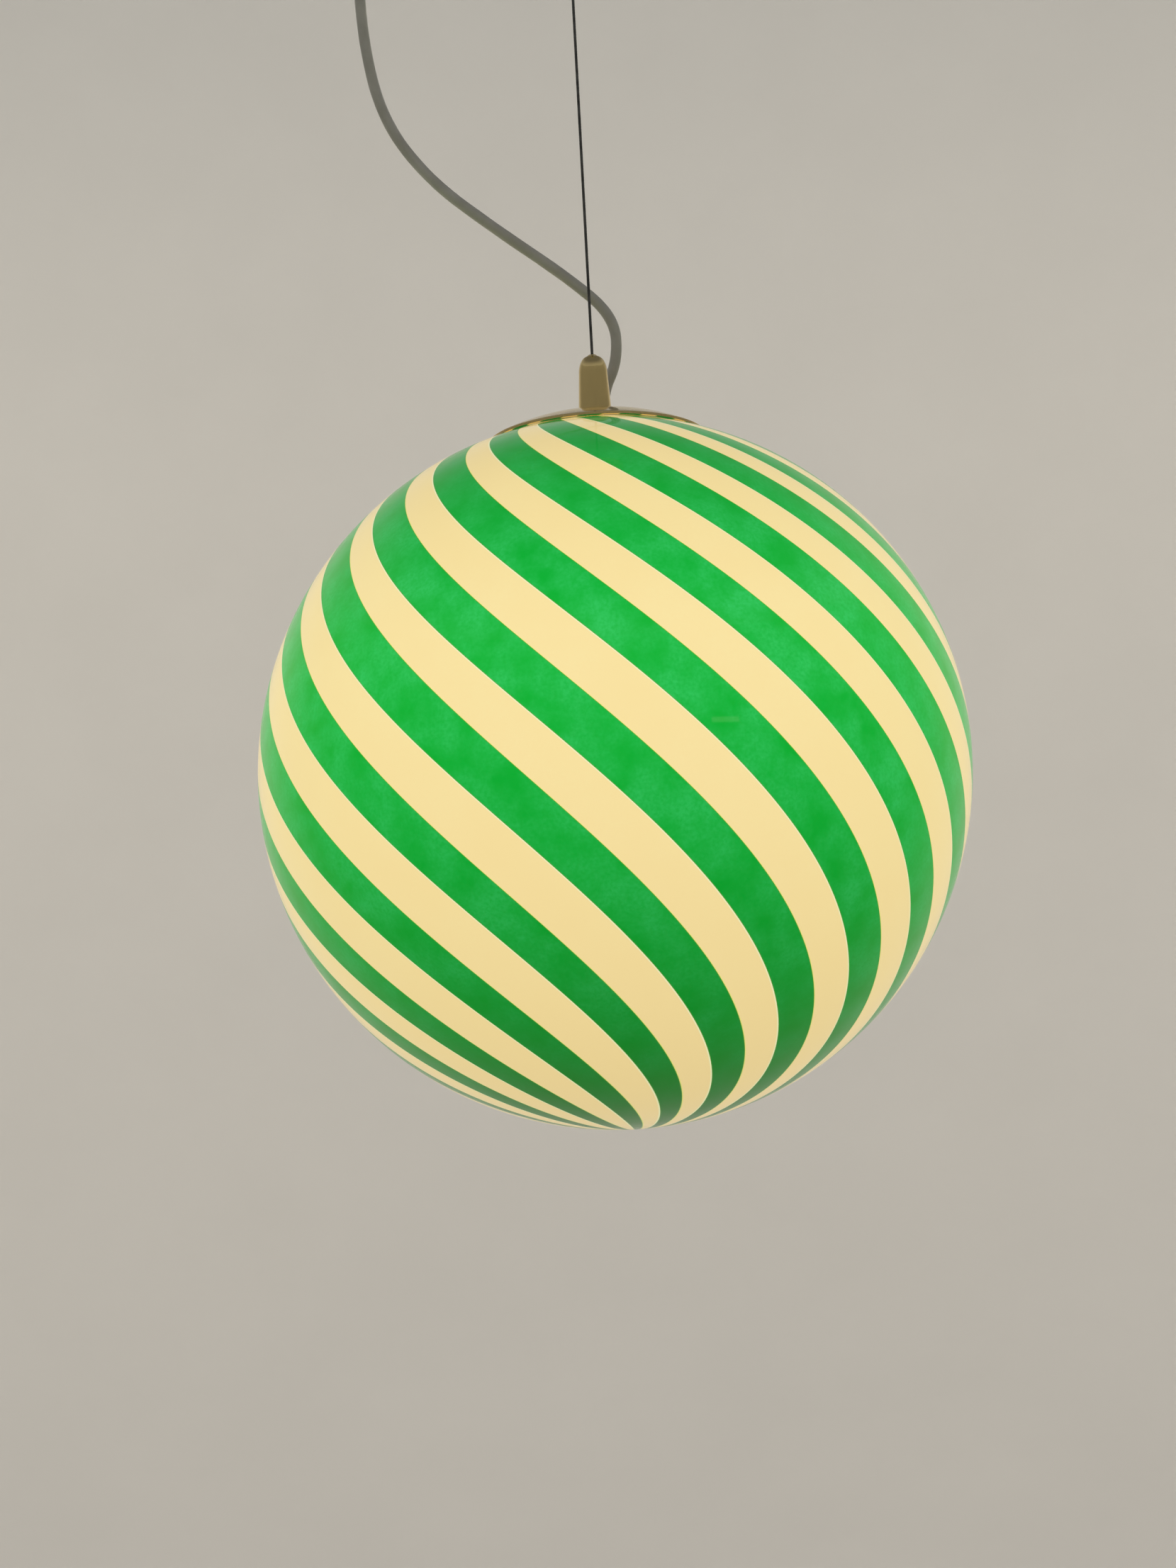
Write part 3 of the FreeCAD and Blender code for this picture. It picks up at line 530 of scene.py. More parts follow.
def dome(radius: float, centre: float, inner: float, outer: float, steps: int) -> Outline:
    """Points on a sphere's upper side from one distance off the axis to another.

    Args:
        radius: The sphere's radius.
        centre: Height of its centre.
        inner: Distance from the axis where it starts.
        outer: Distance from the axis where it ends.
        steps: Number of parts.

    Returns:
        The points as (r, z).
    """
    first, last = math.asin(inner / radius), math.asin(outer / radius)
    turns = [first + (last - first) * i / steps for i in range(steps + 1)]
    return [(radius * math.sin(a), centre + radius * math.cos(a)) for a in turns]


def skin(
    name: str,
    rings: Sequence[Sequence[Vector]],
    looped: bool = False,
    finish_of: Callable[[int, int], int] | None = None,
) -> bpy.types.Object:
    """Makes one closed mesh over a stack of rings that have the same number of points.

    Args:
        name: The piece's name.
        rings: The rings in order. An open stack is closed with a face or a point at each end.
        looped: True if the last ring joins the first.
        finish_of: Finish number for a face from its ring and its place in the ring.

    Returns:
        The new piece.
    """
    shape = bmesh.new()
    rows = [[shape.verts.new(point) for point in ring] for ring in rings]
    count = len(rings[0])
    pairs = list(zip(rows, rows[1:])) + ([(rows[-1], rows[0])] if looped else [])
    for level, (low, high) in enumerate(pairs):
        for i in range(count):
            j = (i + 1) % count
            face = shape.faces.new((low[i], low[j], high[j], high[i]))
            face.material_index = finish_of(level, i) if finish_of else 0
    if not looped:
        for row in (rows[0], rows[-1]):
            if (row[0].co - row[count // 2].co).length > 1e-7:
                shape.faces.new(row)
    bmesh.ops.remove_doubles(shape, verts=shape.verts, dist=1e-7)
    bmesh.ops.recalc_face_normals(shape, faces=shape.faces)
    mesh = bpy.data.meshes.new(name)
    shape.to_mesh(mesh)
    shape.free()
    mesh.polygons.foreach_set("use_smooth", [True] * len(mesh.polygons))
    mesh.set_sharp_from_angle(angle=math.radians(32))
    piece = bpy.data.objects.new(name, mesh)
    bpy.context.scene.collection.objects.link(piece)
    return piece


def lathe(name: str, outline: Outline, x: float = 0.0, y: float = 0.0, sides: int = 96) -> bpy.types.Object:
    """Turns an outline round an upright axis.

    Args:
        name: The piece's name.
        outline: (r, z) points. If both ends lie on the axis it is open there, or else it is a loop.
        x: The axis's place.
        y: The axis's place.
        sides: Number of faces round the axis.

    Returns:
        The new piece.
    """
    turns = [2 * math.pi * i / sides for i in range(sides)]
    rings = [[Vector((x + r * math.cos(a), y + r * math.sin(a), z)) for a in turns] for r, z in outline]
    return skin(name, rings, looped=outline[0][0] > 1e-9)


def sweep(name: str, line: Sequence[Vector], section: Callable[[float], Outline]) -> bpy.types.Object:
    """Draws a cross-section along a line without twisting it.

    Args:
        name: The piece's name.
        line: The points it follows.
        section: The cross-section's points from the distance along the line.

    Returns:
        The new piece.
    """
    headings = [(b - a).normalized() for a, b in zip(line, line[1:])]
    headings = [headings[0]] + [(a + b).normalized() for a, b in zip(headings, headings[1:])] + [headings[-1]]
    side = headings[0].orthogonal().normalized()
    rings, gone = [], 0.0
    for i, (point, heading) in enumerate(zip(line, headings)):
        if i:
            side = headings[i - 1].rotation_difference(heading) @ side
            gone += (point - line[i - 1]).length
        across = heading.cross(side)
        rings.append([point + side * u + across * v for u, v in section(gone)])
    return skin(name, rings)


def cut_hole(piece: bpy.types.Object, cutter: bpy.types.Object) -> None:
    """Cuts one piece's shape out of another and removes the cutter."""
    tool = piece.modifiers.new("hole", "BOOLEAN")
    tool.operation = "DIFFERENCE"
    tool.solver = "EXACT"
    tool.object = cutter
    bpy.context.view_layer.update()
    seen = piece.evaluated_get(bpy.context.evaluated_depsgraph_get())
    cut = bpy.data.meshes.new_from_object(seen)
    piece.modifiers.clear()
    piece.data = cut
    bpy.data.objects.remove(cutter)


def route_line(name: str, points: Sequence[tuple[float, float, float]]) -> list[Vector]:
    """Lays a smooth spline with these control points and reads its line.

    Args:
        name: Name of the route.
        points: Control points in metres.

    Returns:
        Points along the spline.
    """
    curve = bpy.data.curves.new(name, "CURVE")
    curve.dimensions = "3D"
    spline = curve.splines.new("NURBS")
    spline.points.add(len(points) - 1)
    for control, point in zip(spline.points, points):
        control.co = (*point, 1.0)
    spline.order_u = 3
    spline.use_endpoint_u = True
    spline.resolution_u = 16
    holder = bpy.data.objects.new(name, curve)
    bpy.context.scene.collection.objects.link(holder)
    bpy.context.view_layer.update()
    mesh = bpy.data.meshes.new_from_object(holder)
    line = [vertex.co.copy() for vertex in mesh.vertices]
    bpy.data.objects.remove(holder)
    bpy.data.meshes.remove(mesh)
    return line


def wear(piece: bpy.types.Object, finishes: Iterable[Finish]) -> None:
    """Gives a piece its finishes in order."""
    if piece.data.materials:
        piece.data.materials.clear()
    for finish in finishes:
        piece.data.materials.append(finish.material())


# ---------------------------------------------------------------- sub-assemblies
@dataclass
class Assembly(ABC):
    """A sub-assembly of the lamp that builds its own pieces and dresses the frame's nodes."""

    pieces: list[bpy.types.Object] = field(default_factory=list, init=False)

    @abstractmethod
    def build(self) -> None:
        """Builds the sub-assembly's own pieces."""

    @abstractmethod
    def dress(self) -> None:
        """Gives the frame's nodes of the sub-assembly their finishes."""

    def fit(
        self, piece: bpy.types.Object, body: Body, slot: Slot, finishes: Iterable[Finish], *nodes: str
    ) -> None:
        """Finishes a piece, makes it ride its body and lets it stand for the frame's nodes.

        Args:
            piece: The new piece, in place.
            body: The body it moves with.
            slot: The record's slot for its finish; not used.
            finishes: Its finishes in order.
            *nodes: The nodes it stands for.
        """
        wear(piece, finishes)
        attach(piece, body.value)
        if nodes:
            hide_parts(*nodes)
        self.pieces.append(piece)
        LOG.info("%s: %d faces on %s", piece.name, len(piece.data.polygons), body.value)

    def put_on(self, finish: Finish, *nodes: str) -> None:
        """Puts one finish on several of the frame's nodes."""
        for name in nodes:
            wear(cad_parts[name], [finish])
            LOG.info("%s: %s", name, finish.name)


@dataclass
class Globe(Assembly):
    """The blown globe with green bars that swirl from its neck to its bottom."""

    wall: float = 3.0 * MM
    bars: int = 18
    bar_at_middle: float = 9.8              # degrees round the globe, halfway down
    bar_growth: float = 0.015               # degrees wider for each degree up the globe
    swirl: tuple[float, ...] = (56.8, 0.9885, -0.001746, -3.9e-6)   # bar's angle in powers of degrees down
    slow_wander: tuple[float, float, float] = (0.83, 0.69, 274.5)   # degrees, turn per degree down, start
    quick_wander: tuple[float, float, float] = (1.18, 2.97, 126.3)  # the same, twice round the globe
    stray: tuple[float, float, float] = (0.5, 0.4, 0.3)   # each bar's own shift, swell and sway, in degrees
    sway_rate: float = 2.2                  # turn of each bar's own sway for each degree down
    # Widths of the painted highlight lines, pale and yellow, at the bars' edges.
    pale_highlight_line: float = 0.65 * MM
    yellow_highlight_line: float = 0.45 * MM
    olive_line: float = 0.35 * MM
    widest_line: float = 0.9                # degrees that a line may take up near the poles
    splits: int = 6                         # faces across each bar and each gap
    levels: int = 150
    seed: int = 635

    def build(self) -> None:
        """Builds the globe as one closed shell whose faces follow the swirl."""
        low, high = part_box("glass_globe")
        self.radius = (high.x - low.x) / 2
        self.centre = low.z + self.radius
        neck = math.asin(min(1.0, math.sqrt(self.radius**2 - (high.z - self.centre) ** 2) / self.radius))
        columns = self.columns()
        outer = [neck + (math.pi - neck) * i / self.levels for i in range(self.levels + 1)]
        inner_radius = self.radius - self.wall
        inner_neck = math.asin(self.radius * math.sin(neck) / inner_radius)
        inner = [inner_neck + (math.pi - inner_neck) * i / self.levels for i in range(self.levels + 1)]
        rings = [self.ring(inner_radius, turn) for turn in reversed(inner)]
        rings += [self.ring(self.radius, turn) for turn in outer]
        opal = len(rings) - len(outer)
        glass = skin("striped_globe", rings, finish_of=lambda level, i: 5 if level < opal else columns[i])
        finishes = (GREEN_GLASS, CREAM_GLASS, PALE_HIGHLIGHT_EDGE, YELLOW_HIGHLIGHT_EDGE, OLIVE_EDGE, OPAL_GLASS)
        self.fit(glass, Body.GLOBE, Slot.GLASS, finishes, "glass_globe")

    def dress(self) -> None:
        """The globe has no node left to dress."""

    def columns(self) -> list[int]:
        """Finish number of each column of faces round the globe."""
        green, cream, pale, yellow, olive = range(5)
        # pale and yellow are the painted highlight lines at each bar's edges.
        one = [pale, olive] + [green] * self.splits + [olive, yellow] + [cream] * self.splits
        return one * self.bars

    def ring(self, radius: float, turn: float) -> list[Vector]:
        """Points round the globe at one angle from its top.

        Args:
            radius: Distance from the globe's centre.
            turn: Angle from the top, in radians.

        Returns:
            One point for each column of faces.
        """
        down = math.degrees(turn) - 90
        lead = sum(c * down**power for power, c in enumerate(self.swirl))
        across = max(radius * math.sin(turn), 1e-9)
        pitch = 360 / self.bars
        sizes = (self.pale_highlight_line, self.olive_line, self.yellow_highlight_line)
        pale, olive, yellow = (min(math.degrees(size / across), self.widest_line) for size in sizes)
        stray_shift, stray_swell, stray_sway = self.stray
        chance = random.Random(self.seed)
        edges = []
        for bar in range(self.bars):
            shift, swell, sway, phase = (chance.uniform(-1, 1) for _ in range(4))
            wave = stray_sway * sway * math.sin(math.radians(self.sway_rate * down) + 3 * phase)
            for rounds, (size, rate, start) in ((1, self.slow_wander), (2, self.quick_wander)):
                wave += size * math.sin(math.radians(rounds * pitch * bar + rate * down + start))
            middle = lead + pitch * bar + stray_shift * shift + wave
            half = (self.bar_at_middle - self.bar_growth * down + stray_swell * swell) / 2
            edges.append((middle - half, middle + half))
        angles = []
        for bar, (first, last) in enumerate(edges):
            following = edges[(bar + 1) % self.bars][0] + (360 if bar == self.bars - 1 else 0)
            stops = [first - olive - pale, first - olive]
            stops += [first + (last - first) * i / self.splits for i in range(self.splits)]
            stops += [last, last + olive]
            gap = following - pale - last - yellow - 2 * olive
            stops += [last + olive + yellow + gap * i / self.splits for i in range(self.splits)]
            angles += stops
        level = self.centre + radius * math.cos(turn)
        turns = [math.radians(a) for a in angles]
        return [Vector((across * math.sin(a), -across * math.cos(a), level)) for a in turns]


@dataclass
class Cap(Assembly):
    """The spun brass cap over the globe's neck, with the flex bush."""

    wall: float = 1.0 * MM
    lip: float = 1.5 * MM
    bore: float = 5.0 * MM
    bush_wall: float = 0.9 * MM
    bush_flange: float = 2.2 * MM

    def build(self) -> None:
        """Builds the cap and the tapered bush."""
        low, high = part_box("cap")
        radius = (high.x - low.x) / 2
        rise = high.z - low.z - self.lip
        sphere = (radius**2 + rise**2) / (2 * rise)
        centre = high.z - sphere
        inner = radius - self.wall
        edge = 0.35 * MM
        top = dome(sphere, centre, self.bore, radius - edge, 40)
        outline = soften([(self.bore, high.z - 0.5 * self.wall), *top])
        outline += soften([
            (radius - edge, low.z + self.lip + edge * rise / radius),
            (radius, low.z + self.lip, edge),
            (radius, low.z, edge),
            (inner, low.z, edge),
            (inner, low.z + self.lip),
        ])[1:]
        outline += reversed(dome(sphere - self.wall, centre, self.bore, inner - edge, 40))
        cap = lathe("brass_cap", outline, sides=192)

        bush_low, bush_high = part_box("flex_bush")
        x, y = (bush_low.x + bush_high.x) / 2, (bush_low.y + bush_high.y) / 2
        collar = (bush_high.x - bush_low.x) / 2
        flex = FLEX_DIAMETER / 2
        shank = collar - 1.0 * MM
        seat = centre + math.sqrt(sphere**2 - (math.hypot(x, y) - collar) ** 2)
        above = high.z + 0.01
        hole = lathe("bush_hole", [(0, low.z), (shank, low.z), (shank, above), (0, above)], x, y, 48)
        cut_hole(cap, hole)
        self.fit(cap, Body.LAMP, Slot.BRASS, [POLISHED_BRASS], "cap")

        tip = flex + self.bush_wall
        bush = lathe("flex_bush_boot", soften([
            (flex, bush_low.z),
            (shank, bush_low.z, 0.2 * MM),
            (shank, seat - 1.2 * MM),
            (collar, seat - 1.2 * MM),
            (collar, seat + self.bush_flange, 0.6 * MM),
            (tip + 0.5 * MM, seat + self.bush_flange + 0.5 * MM, 0.8 * MM),
            (tip, bush_high.z, 0.5 * MM),
            (flex, bush_high.z),
        ]), x, y, 48)
        self.fit(bush, Body.LAMP, Slot.NYLON, [NYLON], "flex_bush")

    def dress(self) -> None:
        """Dresses the gasket and the bush's clip below the cap."""
        self.put_on(SILICONE, "glass_gasket")
        self.put_on(NYLON, "flex_bush_clip")


@dataclass
class Gripper(Assembly):
    """The brass wire gripper, its threaded stud and its spring plunger."""

    height: float = 30.4 * MM
    base: float = 8.4 * MM
    waist: float = 7.3 * MM
    rounding: float = 9.0 * MM
    bore: float = 2.55 * MM
    chamber: float = 4.2 * MM
    wire_bore: float = 1.15 * MM
    stud: float = 4.9 * MM
    thread_pitch: float = 1.0 * MM
    thread_depth: float = 0.35 * MM
    spring_wire: float = 0.35 * MM
    spring_turns: int = 4
    press: float = 1.5 * MM

    def build(self) -> None:
        """Builds the turned body with its bore, chamber and threaded stud, then its spring."""
        low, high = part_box("gripper_body")
        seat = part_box("cap")[1].z
        top = high.z
        shoulder = top - self.rounding
        outside = soften([
            (self.stud, seat - 0.1 * MM),
            (self.base - 0.35 * MM, seat - 0.25 * MM, 0.25 * MM),
            (self.base, seat + 0.9 * MM, 0.5 * MM),
            (self.waist, shoulder),
        ])
        crown = quarter((self.waist, shoulder), (self.bore + 0.5 * MM, top), 16)
        inside = soften([
            (self.bore + 0.5 * MM, top),
            (self.bore, top - 0.1 * MM, 0.15 * MM),
            (self.bore, seat + 20 * MM),
            (self.bore + 0.4 * MM, seat + 19 * MM),
            (self.chamber, seat + 10 * MM),
            (self.chamber, seat + 2 * MM),
            (self.wire_bore, seat + 2 * MM),
            (self.wire_bore, low.z),
        ])
        outline = self.thread(low.z, seat - 1.5 * MM) + outside + crown[1:] + inside[1:]
        body = lathe("wire_gripper", outline, sides=128)
        self.fit(body, Body.LAMP, Slot.BRASS, [POLISHED_BRASS], "gripper_body")
        self.build_spring()

    def build_spring(self) -> None:
        """Builds the plunger's spring as a fixed coil; the real spring shortens as the plunger is pressed."""
        low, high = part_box("gripper_spring")
        height = high.z - low.z
        coil = (high.x - low.x) / 2 - self.spring_wire
        steps = self.spring_turns * 40
        line = []
        for i in range(steps + 1):
            turn = 2 * math.pi * self.spring_turns * i / steps
            level = low.z + self.spring_wire + (height - 2 * self.spring_wire) * i / steps
            line.append(Vector((coil * math.cos(turn), coil * math.sin(turn), level)))
        corners = [math.pi / 6 * i for i in range(12)]
        wire = [(self.spring_wire * math.cos(a), self.spring_wire * math.sin(a)) for a in corners]
        spring = sweep("plunger_spring", line, lambda gone: wire)
        self.fit(spring, Body.LAMP, Slot.STEEL, [HARD_STEEL], "gripper_spring")
        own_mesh(spring)

    def thread(self, low: float, high: float) -> Outline:
        """Outline of the stud's thread, drawn as rings.

        Args:
            low: Its lower end.
            high: Its upper end.

        Returns:
            The points going up.
        """
        root = self.stud - self.thread_depth
        line: Outline = [(root, low)]
        for i in range(int((high - low) / self.thread_pitch)):
            z = low + i * self.thread_pitch
            line += [(self.stud, z + 0.4 * self.thread_pitch), (self.stud, z + 0.55 * self.thread_pitch)]
            line += [(root, z + 0.95 * self.thread_pitch)]
        return line

    def dress(self) -> None:
        """Dresses the plunger and the balls."""
        self.put_on(POLISHED_BRASS, "gripper_plunger")
        self.put_on(HARD_STEEL, "gripper_balls")


@dataclass
class Rope(Assembly):
    """The thin steel rope that carries the lamp."""

    strands: int = 6
    lay: float = 9.0 * MM                   # length in which a strand goes once round
    groove: float = 0.09 * MM
    points_per_strand: int = 4
    step: float = 0.75 * MM
    travel: float = 0.15

    def build(self) -> None:
        """Builds the rope as one twisted, lobed rod."""
        low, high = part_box("suspension_wire")
        radius = (high.x - low.x) / 2
        count = math.ceil((high.z - low.z) / self.step)
        line = [Vector((0, 0, low.z + (high.z - low.z) * i / count)) for i in range(count + 1)]

        def section(gone: float) -> Outline:
            """The rope's lobed section at one distance along it."""
            points: Outline = []
            corners = self.strands * self.points_per_strand
            for i in range(corners):
                share = 2 * math.pi * i / corners
                r = radius - self.groove * (1 - abs(math.cos(self.strands * share / 2)))
                turn = share + 2 * math.pi * gone / self.lay
                points.append((r * math.cos(turn), r * math.sin(turn)))
            return points

        rope = sweep("steel_rope", line, section)
        self.fit(rope, Body.SUSPENSION, Slot.ROPE, [ROPE_STEEL], "suspension_wire")
        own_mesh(rope)

    def dress(self) -> None:
        """Dresses the ball that ends the rope."""
        self.put_on(HARD_STEEL, "wire_ball")


FLEX_DIAMETER = 5.7 * MM
# The free flex from inside the cap's bush up into the canopy's cord grip.
FLEX_ROUTE = [
    (0.0035, 0.0180, -0.4470),
    (0.0035, 0.0180, -0.4285),
    (0.0130, 0.0180, -0.4095),
    (0.0125, 0.0180, -0.3860),
    (-0.0100, 0.0185, -0.3640),
    (-0.0470, 0.0190, -0.3350),
    (-0.0800, 0.0185, -0.3070),
    (-0.1030, 0.0175, -0.2730),
    (-0.1115, 0.0160, -0.2280),
    (-0.1120, 0.0140, -0.1780),
    (-0.0930, 0.0110, -0.1290),
    (-0.0530, 0.0080, -0.0920),
    (-0.0240, 0.0060, -0.0620),
    (-0.0240, 0.0060, -0.0270),
]


@dataclass
class Flex(Assembly):
    """The round mains flex that hangs loose between the cap and the canopy."""

    sides: int = 28
    core_lay: float = 45 * MM               # length in which the two cores inside go once round
    core_swell: float = 0.05 * MM
    travel: float = 0.15

    def build(self) -> None:
        """Builds the free flex as a tube along its route, with its cores just showing."""
        line = route_line("flex_route", FLEX_ROUTE)
        radius = FLEX_DIAMETER / 2

        def section(gone: float) -> Outline:
            """The sheath's section, a trace wider where the two cores press on it."""
            points: Outline = []
            for i in range(self.sides):
                share = 2 * math.pi * i / self.sides
                press = math.cos(2 * (share - 2 * math.pi * gone / self.core_lay))
                r = radius - self.core_swell * (1 - press) / 2
                points.append((r * math.cos(share), r * math.sin(share)))
            return points

        flex = sweep("white_flex", line, section)
        self.fit(flex, Body.SUSPENSION, Slot.FLEX, [PVC], "flex_cord")
        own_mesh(flex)

    def dress(self) -> None:
        """Dresses the flex inside the canopy and inside the globe."""
        self.put_on(PVC, "flex_in_canopy", "flex_tail")
        self.put_on(BLUE_CORE, "neutral_lead")
        self.put_on(BROWN_CORE, "live_lead")


@dataclass
class Canopy(Assembly):
    """The ceiling fixing: cup, bracket, wire anchor, cord grip and terminals."""

    wall: float = 1.0 * MM
    edge: float = 6.0 * MM
    bore: float = 5.0 * MM
    screw_hole: float = 2.2 * MM
    grip_hole: float = 4.1 * MM
    grip_ribs: int = 18
    rib: float = 0.35 * MM
    rib_bore: float = 4.0 * MM              # nearer the flex than this the grip has no ribs
    flare: float = 1.0 * MM                 # the grip's mouth opens by this much for a swinging flex
    flare_depth: float = 6.0 * MM

    def build(self) -> None:
        """Builds the spun cup and the ribbed cord grip."""
        low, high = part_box("canopy_cup")
        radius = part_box("canopy_cup")[1].y
        floor = low.z + self.wall
        cup = lathe("canopy_cup_brass", soften([
            (self.bore, floor),
            (self.bore, low.z, 0.2 * MM),
            (radius, low.z, self.edge),
            (radius, high.z, 0.3 * MM),
            (radius - self.wall, high.z, 0.3 * MM),
            (radius - self.wall, floor, self.edge - self.wall),
            (self.bore, floor),
        ])[:-1], sides=192)
        grip_low, grip_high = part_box("canopy_cord_grip")
        x, y = (grip_low.x + grip_high.x) / 2, (grip_low.y + grip_high.y) / 2
        hole, below = self.grip_hole, low.z - 0.01
        cut_hole(cup, lathe("grip_hole", [(0, below), (hole, below), (hole, -0.01), (0, -0.01)], x, y, 48))
        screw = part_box("canopy_side_screws")
        level = (screw[0].z + screw[1].z) / 2
        reach = radius + 0.01
        pin = self.screw_hole
        drill = lathe("screw_hole", [(0, -reach), (pin, -reach), (pin, reach), (0, reach)], sides=32)
        drill.data.transform(Matrix.Translation((0, 0, level)) @ Matrix.Rotation(math.pi / 2, 4, "Y"))
        cut_hole(cup, drill)
        self.fit(cup, Body.CEILING, Slot.BRASS, [POLISHED_BRASS], "canopy_cup")
        self.build_grip(grip_low, grip_high, low.z, x, y)

    def build_grip(self, low: Vector, high: Vector, floor: float, x: float, y: float) -> None:
        """Builds the cord grip with a ribbed nose for the fingers and a flared mouth.

        Args:
            low: Lowest corner of the grip's box.
            high: Highest corner of the grip's box.
            floor: The cup's underside.
            x: The grip's axis.
            y: The grip's axis.
        """
        radius = (high.x - low.x) / 2
        flex = FLEX_DIAMETER / 2 + 0.05 * MM
        flange = floor - 2.2 * MM
        nose = radius - 0.7 * MM
        outline = soften([
            (flex, high.z),
            (flex, low.z + self.flare_depth, 20 * MM),
            (flex + self.flare, low.z),
            (flex + self.flare + 0.7 * MM, low.z, 0.3 * MM),
            (nose, low.z + 3.2 * MM, 1.2 * MM),
            (nose, flange),
            (radius, flange, 0.4 * MM),
            (radius, floor),
            (radius - 2.5 * MM, floor),
            (radius - 2.5 * MM, high.z),
            (flex, high.z),
        ])[:-1]
        sides = self.grip_ribs * 6
        rings = []
        for r, z in outline:
            at_flange = abs(z - flange) < 1e-6 and abs(r - nose) < 1e-6
            ribbed = low.z + 2.5 * MM < z < flange - 0.2 * MM or at_flange
            ring = []
            for i in range(sides):
                turn = 2 * math.pi * i / sides
                wave = 0.5 - 0.5 * math.cos(self.grip_ribs * turn)
                cut = self.rib * wave if ribbed and r > self.rib_bore else 0.0
                ring.append(Vector((x + (r - cut) * math.cos(turn), y + (r - cut) * math.sin(turn), z)))
            rings.append(ring)
        grip = skin("canopy_grip", rings, looped=True)
        self.fit(grip, Body.CEILING, Slot.NYLON, [NYLON], "canopy_cord_grip")

    def dress(self) -> None:
        """Dresses the bracket, anchor, nuts, screws and terminals."""
        self.put_on(POLISHED_BRASS, "canopy_side_screws", "wire_anchor")
        self.put_on(TURNED_BRASS, "anchor_nut", "terminal_clamps", "terminal_screws", "earth_screw")
        self.put_on(ZINC_STEEL, "ceiling_bracket", "earth_washer")
        self.put_on(NYLON, "canopy_grip_nut", "terminal_block")


@dataclass
class Insides(Assembly):
    """What hangs inside the globe: hangers, lampholder and bulb."""

    def build(self) -> None:
        """Nothing here needs a new shape."""

    def dress(self) -> None:
        """Dresses the hangers, the lampholder and the bulb."""
        self.put_on(ZINC_STEEL, "crossbar", "stirrup", "stud_washer")
        self.put_on(SILICONE, "crossbar_pads")
        self.put_on(TURNED_BRASS, "stud_nut", "nipple_nut", "holder_nipple")
        self.put_on(TURNED_BRASS, "lampholder_thread_shell", "lampholder_contact")
        self.put_on(NYLON, "lampholder_cap", "lampholder_skirt")
        self.put_on(PORCELAIN, "lampholder_core")
        self.put_on(NICKEL, "bulb_tip", "bulb_screw_cap")
        self.put_on(VITRITE, "bulb_insulator")
        self.put_on(HOUSING, "bulb_housing")
        self.put_on(BOARD, "bulb_led_board")
        self.put_on(FROSTED, "bulb_dome")


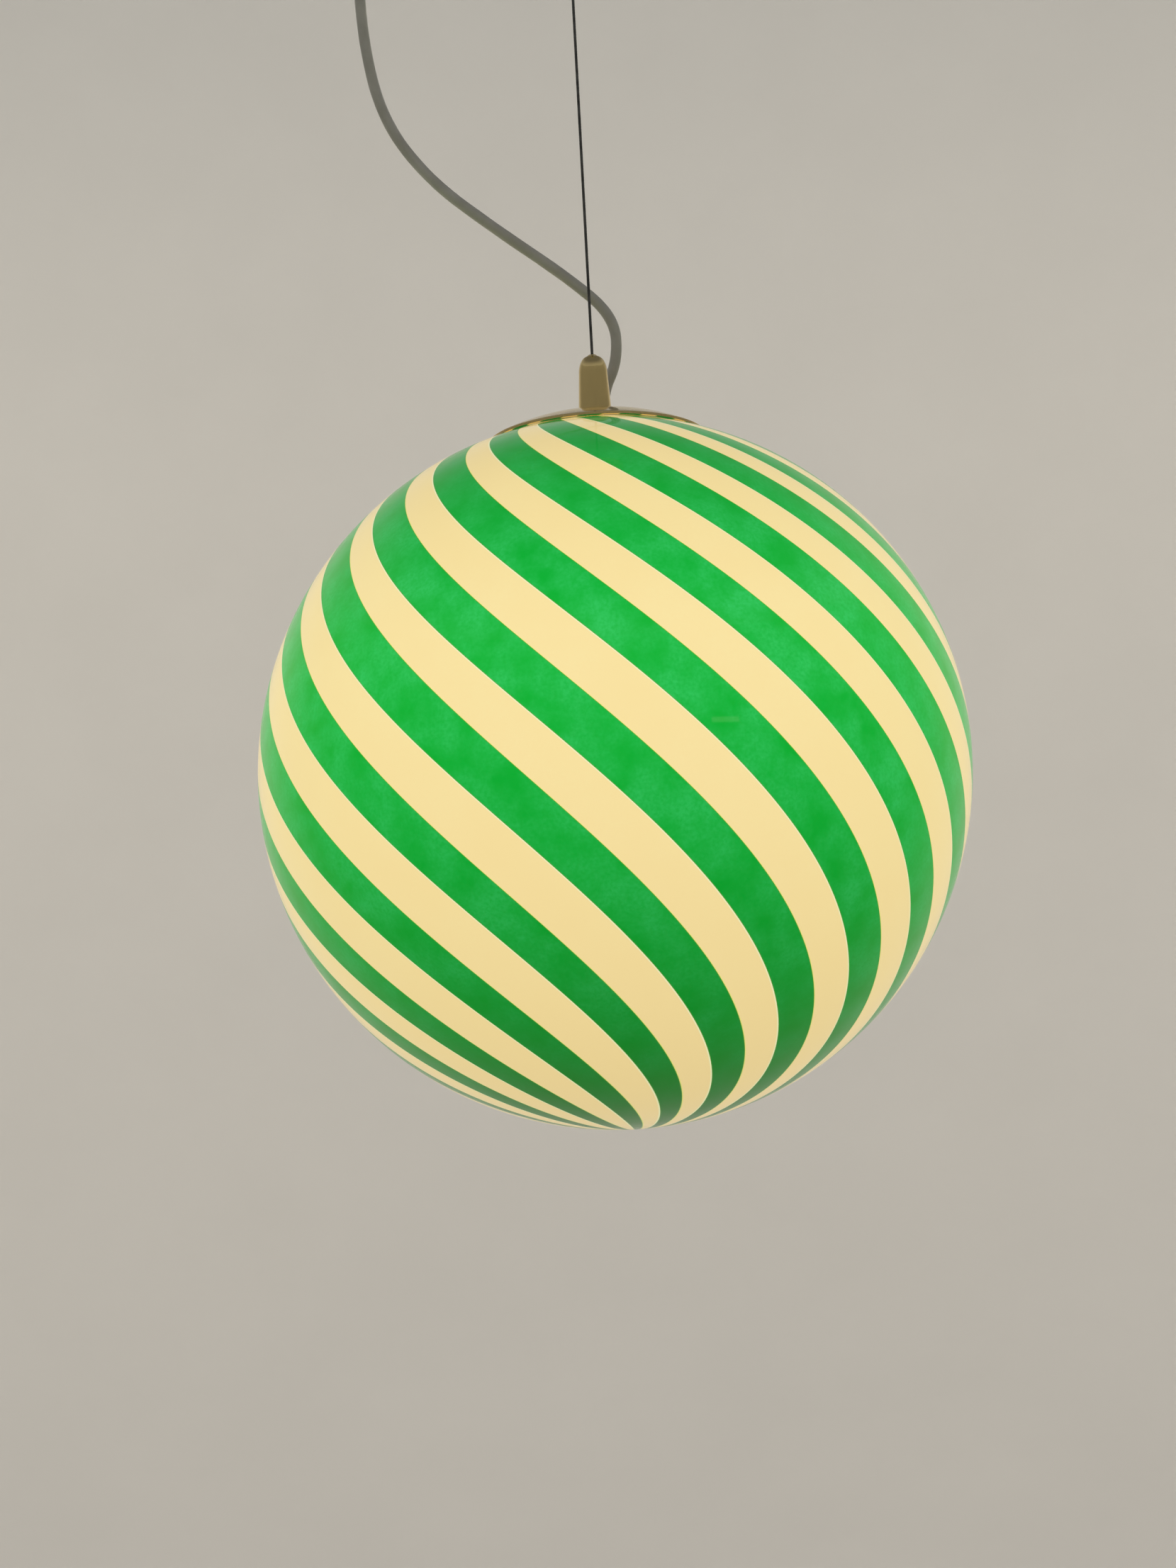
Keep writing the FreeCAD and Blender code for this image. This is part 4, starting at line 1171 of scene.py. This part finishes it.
@dataclass
class Studio:
    """Camera, soft lights and the pale paper sweep round the lamp."""

    distance: float = 1.0896
    elevation: float = -6.8                 # degrees; the camera looks up at the globe
    roll: float = 3.0                       # degrees; the camera leans to the right
    aim_left: float = 13.2 * MM
    aim_down: float = 5.5 * MM
    focal: float = 50.45                    # millimetres on a 36 mm long side
    floor: float = -1.75
    sweep_radius: float = 4.6
    sweep_height: float = 4.3
    sweep_corner: float = 2.2
    lamp_colour: str = "#FFF6EA"
    sky_low: str = "#C8C8C4"
    sky_high: str = "#55565A"
    sky_strength: float = 1.5

    def camera(self) -> None:
        """Places the camera a little below the globe, close to it and leaning."""
        low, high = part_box("glass_globe")
        centre = Vector((0, 0, low.z + (high.x - low.x) / 2))
        tilt = math.radians(self.elevation)
        place = centre + self.distance * Vector((0, -math.cos(tilt), math.sin(tilt)))
        aim = centre
        for _ in range(3):
            forward = (aim - place).normalized()
            level = forward.cross(Vector((0, 0, 1))).normalized()
            lean = Matrix.Rotation(math.radians(self.roll), 3, forward)
            right = lean @ level
            up = right.cross(forward)
            aim = centre - self.aim_left * right - self.aim_down * up
        turn = Matrix((right, up, -forward)).transposed()
        data = bpy.data.cameras.new("camera")
        data.sensor_width = 36.0
        data.lens = self.focal
        data.clip_start, data.clip_end = 0.01, 50.0
        camera = bpy.data.objects.new("camera", data)
        camera.matrix_world = Matrix.Translation(place) @ turn.to_4x4()
        bpy.context.scene.collection.objects.link(camera)
        bpy.context.scene.camera = camera

    def lights(self) -> None:
        """Lights the backdrop from both sides, hangs a slim strip and sets a sky that darkens overhead."""
        plan = (
            ("backdrop_left", (-1.5, 1.3, 0.9), (1.6, 1.0), 32.0, Vector((-0.8, 4.4, -0.4))),
            ("backdrop_right", (1.5, 1.3, 0.9), (1.6, 1.0), 32.0, Vector((0.8, 4.4, -0.4))),
            ("strip", (1.59, -2.4, -0.24), (0.42, 0.075), 0.12, Vector((0, 0, -0.6))),
        )
        for name, place, size, power, goal in plan:
            data = bpy.data.lights.new(name, "AREA")
            data.shape = "RECTANGLE"
            data.size, data.size_y = size
            data.energy = power
            data.color = linear(self.lamp_colour)[:3]
            lamp = bpy.data.objects.new(name, data)
            lamp.location = place
            lamp.rotation_euler = (goal - lamp.location).to_track_quat("-Z", "Y").to_euler()
            bpy.context.scene.collection.objects.link(lamp)
        world = bpy.data.worlds.new("studio")
        world.use_nodes = True
        tree = world.node_tree
        ray = add_node(tree, "ShaderNodeTexCoord").outputs["Generated"]
        height = add_node(tree, "ShaderNodeSeparateXYZ", {"Vector": ray}).outputs["Z"]
        share = add_node(tree, "ShaderNodeMapRange", {"Value": height, "From Min": 0.1, "From Max": 0.8})
        sky = add_node(
            tree,
            "ShaderNodeMix",
            {0: share.outputs["Result"], MIX_A: linear(self.sky_low), MIX_B: linear(self.sky_high)},
            data_type="RGBA",
        )
        tree.links.new(sky.outputs[MIX_RESULT], tree.nodes["Background"].inputs["Color"])
        tree.nodes["Background"].inputs["Strength"].default_value = self.sky_strength
        bpy.context.scene.world = world
        bpy.context.scene.view_settings.view_transform = "Standard"

    def paper(self) -> None:
        """Lays the pale floor that sweeps up all round into a backdrop."""
        corner = [
            (
                self.sweep_radius - self.sweep_corner * (1 - math.sin(a)),
                self.floor + self.sweep_corner * (1 - math.cos(a)),
            )
            for a in (math.pi / 2 * i / 16 for i in range(17))
        ]
        top = self.floor + self.sweep_height
        skirt, under = self.sweep_radius + 0.02, self.floor - 0.02
        outline = [(0.0, self.floor), *corner, (self.sweep_radius, top)]
        outline += [(skirt, top), (skirt, under), (0.0, under)]
        sheet = lathe("paper_sweep", outline, sides=96)
        wear(sheet, [PAPER])

    def build(self) -> None:
        """Builds the whole studio."""
        self.camera()
        self.lights()
        self.paper()


def main() -> None:
    """Builds the studio, then each sub-assembly from the cords up."""
    logging.basicConfig(level=logging.INFO, format="%(name)s: %(message)s")
    Studio().build()
    for assembly in (Flex(), Rope(), Globe(), Cap(), Gripper(), Canopy(), Insides()):
        assembly.build()
        assembly.dress()
        LOG.info("%s: %d new pieces", type(assembly).__name__, len(assembly.pieces))


if __name__ == "__main__":
    main()
